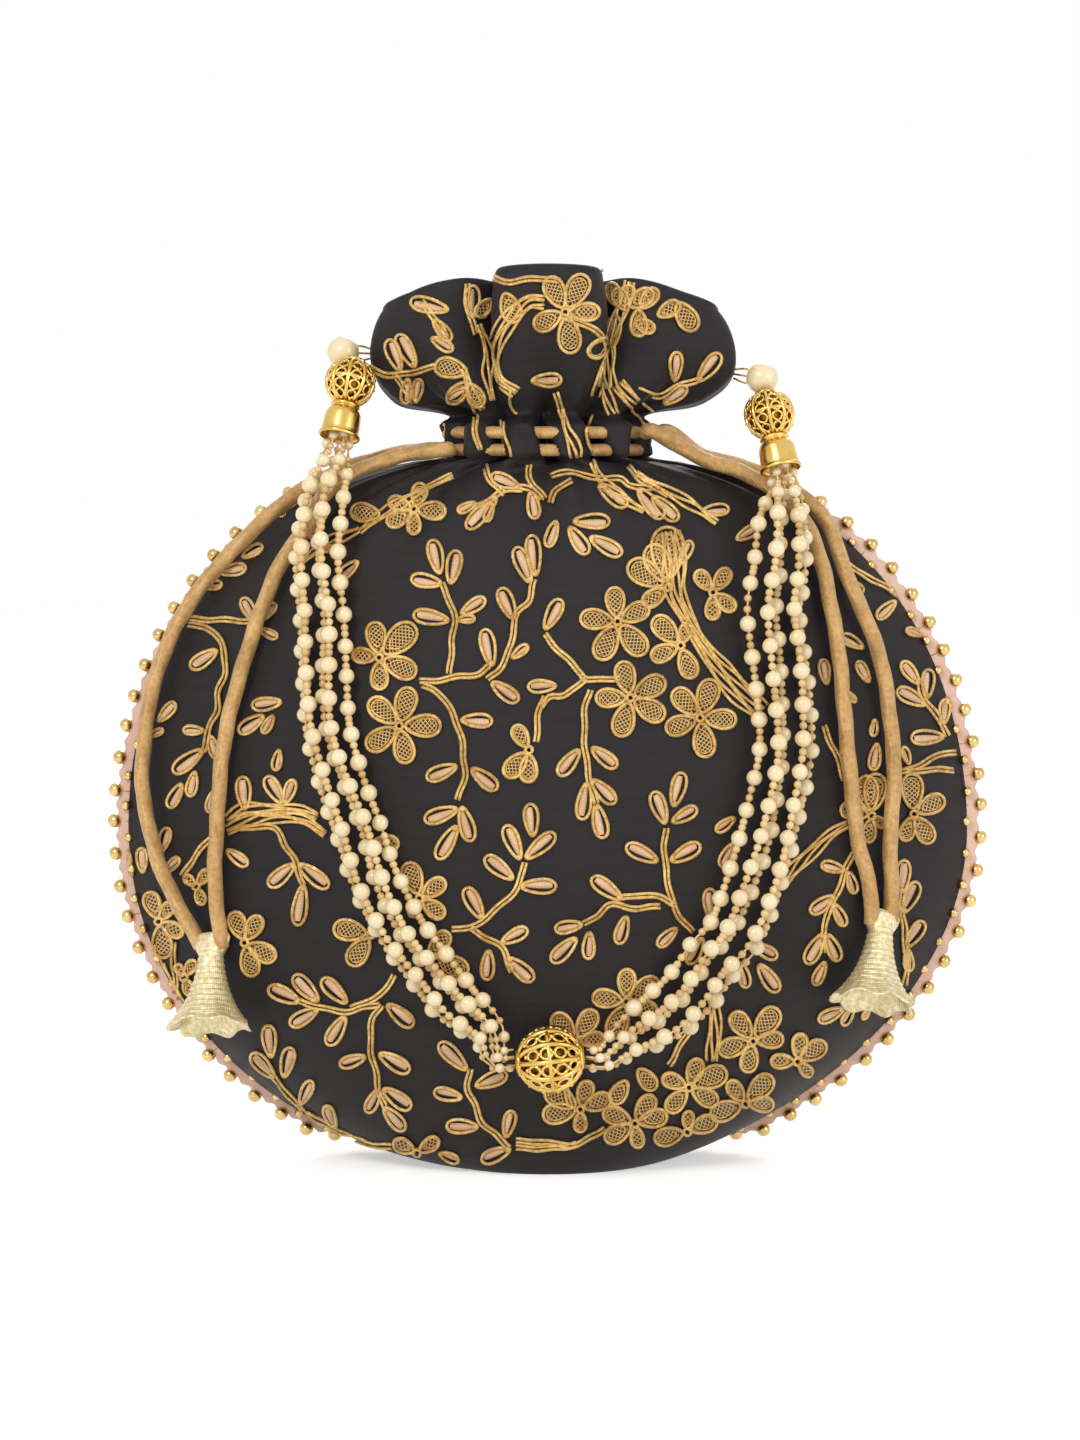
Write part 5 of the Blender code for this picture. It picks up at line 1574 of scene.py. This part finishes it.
    def add_petal(self, x0, z0, x1, z1):
        if self.on_casing(x0, z0) or self.on_casing(x1, z1):
            return
        length = math.hypot(x1 - x0, z1 - z0)
        width = PETAL_WIDTH * length
        points, along, across = self.drop((x0, z0), (x1, z1), width, 0.8, 22)
        if not self.cord(points, 0.5, True, 1.05):
            return
        inner, along_in, across_in = self.drop((x0 + 0.2 * (x1 - x0), z0 + 0.2 * (z1 - z0)),
                                               (x1 - 0.1 * (x1 - x0), z1 - 0.1 * (z1 - z0)),
                                               0.72 * width, 0.8, 14)
        self.cord(inner, 0.3, True, 0.45)
        self.pad(self.mesh, (x0, z0), along, across, width, 0.8, 0.12, 0.3, 0.92, 0.0)
        vein = [(x0 + share * (x1 - x0), z0 + share * (z1 - z0)) for share in (0.2, 0.4, 0.6, 0.8)]
        self.cord(vein, 0.45, False, 0.5)

    def add_flower(self, x, z, tips):
        for tip_x, tip_z in tips:
            start = 0.14
            self.add_petal(x + start * (tip_x - x), z + start * (tip_z - z), tip_x, tip_z)
        ring = [(x + 0.9 * math.cos(i * math.pi / 5), z + 0.9 * math.sin(i * math.pi / 5))
                for i in range(10)]
        self.cord(ring, 0.7, True)

    def add_stem(self, cords, points):
        line = self.follow(points, 0.9)
        for k in range(cords):
            place = []
            lifts = []
            for i, (x, z) in enumerate(line):
                before = line[max(i - 1, 0)]
                after = line[min(i + 1, len(line) - 1)]
                way = Vector((after[0] - before[0], after[1] - before[1])).normalized()
                if cords == 2:
                    turn = 0.62 * i + math.pi * k
                    off = STEM_SPREAD * (0.75 + 0.35 * math.cos(turn)) * (1 - 2 * k)
                else:
                    off = (k - 0.5 * (cords - 1)) * 0.95 + 0.4 * math.sin(0.35 * i + 2.1 * k)
                    off *= 0.75 + 0.25 * math.sin(0.16 * i)
                place.append((x - way.y * off, z + way.x * off))
                lifts.append(0.4 + 0.12 * math.sin(0.8 * i + 2 * k))
            path = [self.spot(px, pz, lift) for (px, pz), lift in zip(place, lifts)]
            self.lay(path, 0.95 * CORD_RADIUS)

    def finish(self, side):
        self.outline.made(f"{side}_couched_cords", "outline", "bag", "gold_satin_cord")
        self.leaf.made(f"{side}_leaf_satin", "leaf", "bag", "gold_satin_cord")
        self.mesh.made(f"{side}_petal_threads", "mesh", "bag", "gold_satin_cord")


def add_embroidery(tree):
    for side, behind in (("front", False), ("back", True)):
        work = Embroidery(tree, behind)
        for leaf in LEAVES:
            work.add_leaf(*leaf)
        for petal in PETALS:
            work.add_petal(*petal)
        for x, z, tips in FLOWERS:
            work.add_flower(x, z, tips)
        for cords, points in STEMS:
            work.add_stem(cords, points)
        work.finish(side)


def surface_tree(pieces):
    """The cloth as one surface that a ray can meet."""
    points = []
    faces = []
    for piece in pieces:
        start = len(points)
        points += [v.co.copy() for v in piece.data.vertices]
        faces += [[start + i for i in face.vertices] for face in piece.data.polygons]
    return BVHTree.FromPolygons(points, faces)


def main():
    bpy.context.scene.view_settings.view_transform = "Standard"
    add_camera()
    for label in ("left", "right"):
        add_drawcord(label, add_bell(label))
    add_world()
    add_floor()
    add_lamp("key", (-0.55, -1.1, 0.95), 0.5, 7.5)
    add_lamp("fill", (0.95, -0.8, 0.45), 0.7, 3.2)
    add_lamp("rear", (0.2, 1.1, 0.9), 0.7, 4.5)
    cloth_tree = surface_tree([panel("pouch_front", "front_panel", math.pi),
                               panel("pouch_back", "back_panel", 0.0)])
    add_lining()
    add_rim()
    add_handle(cloth_tree)
    add_embroidery(cloth_tree)


main()
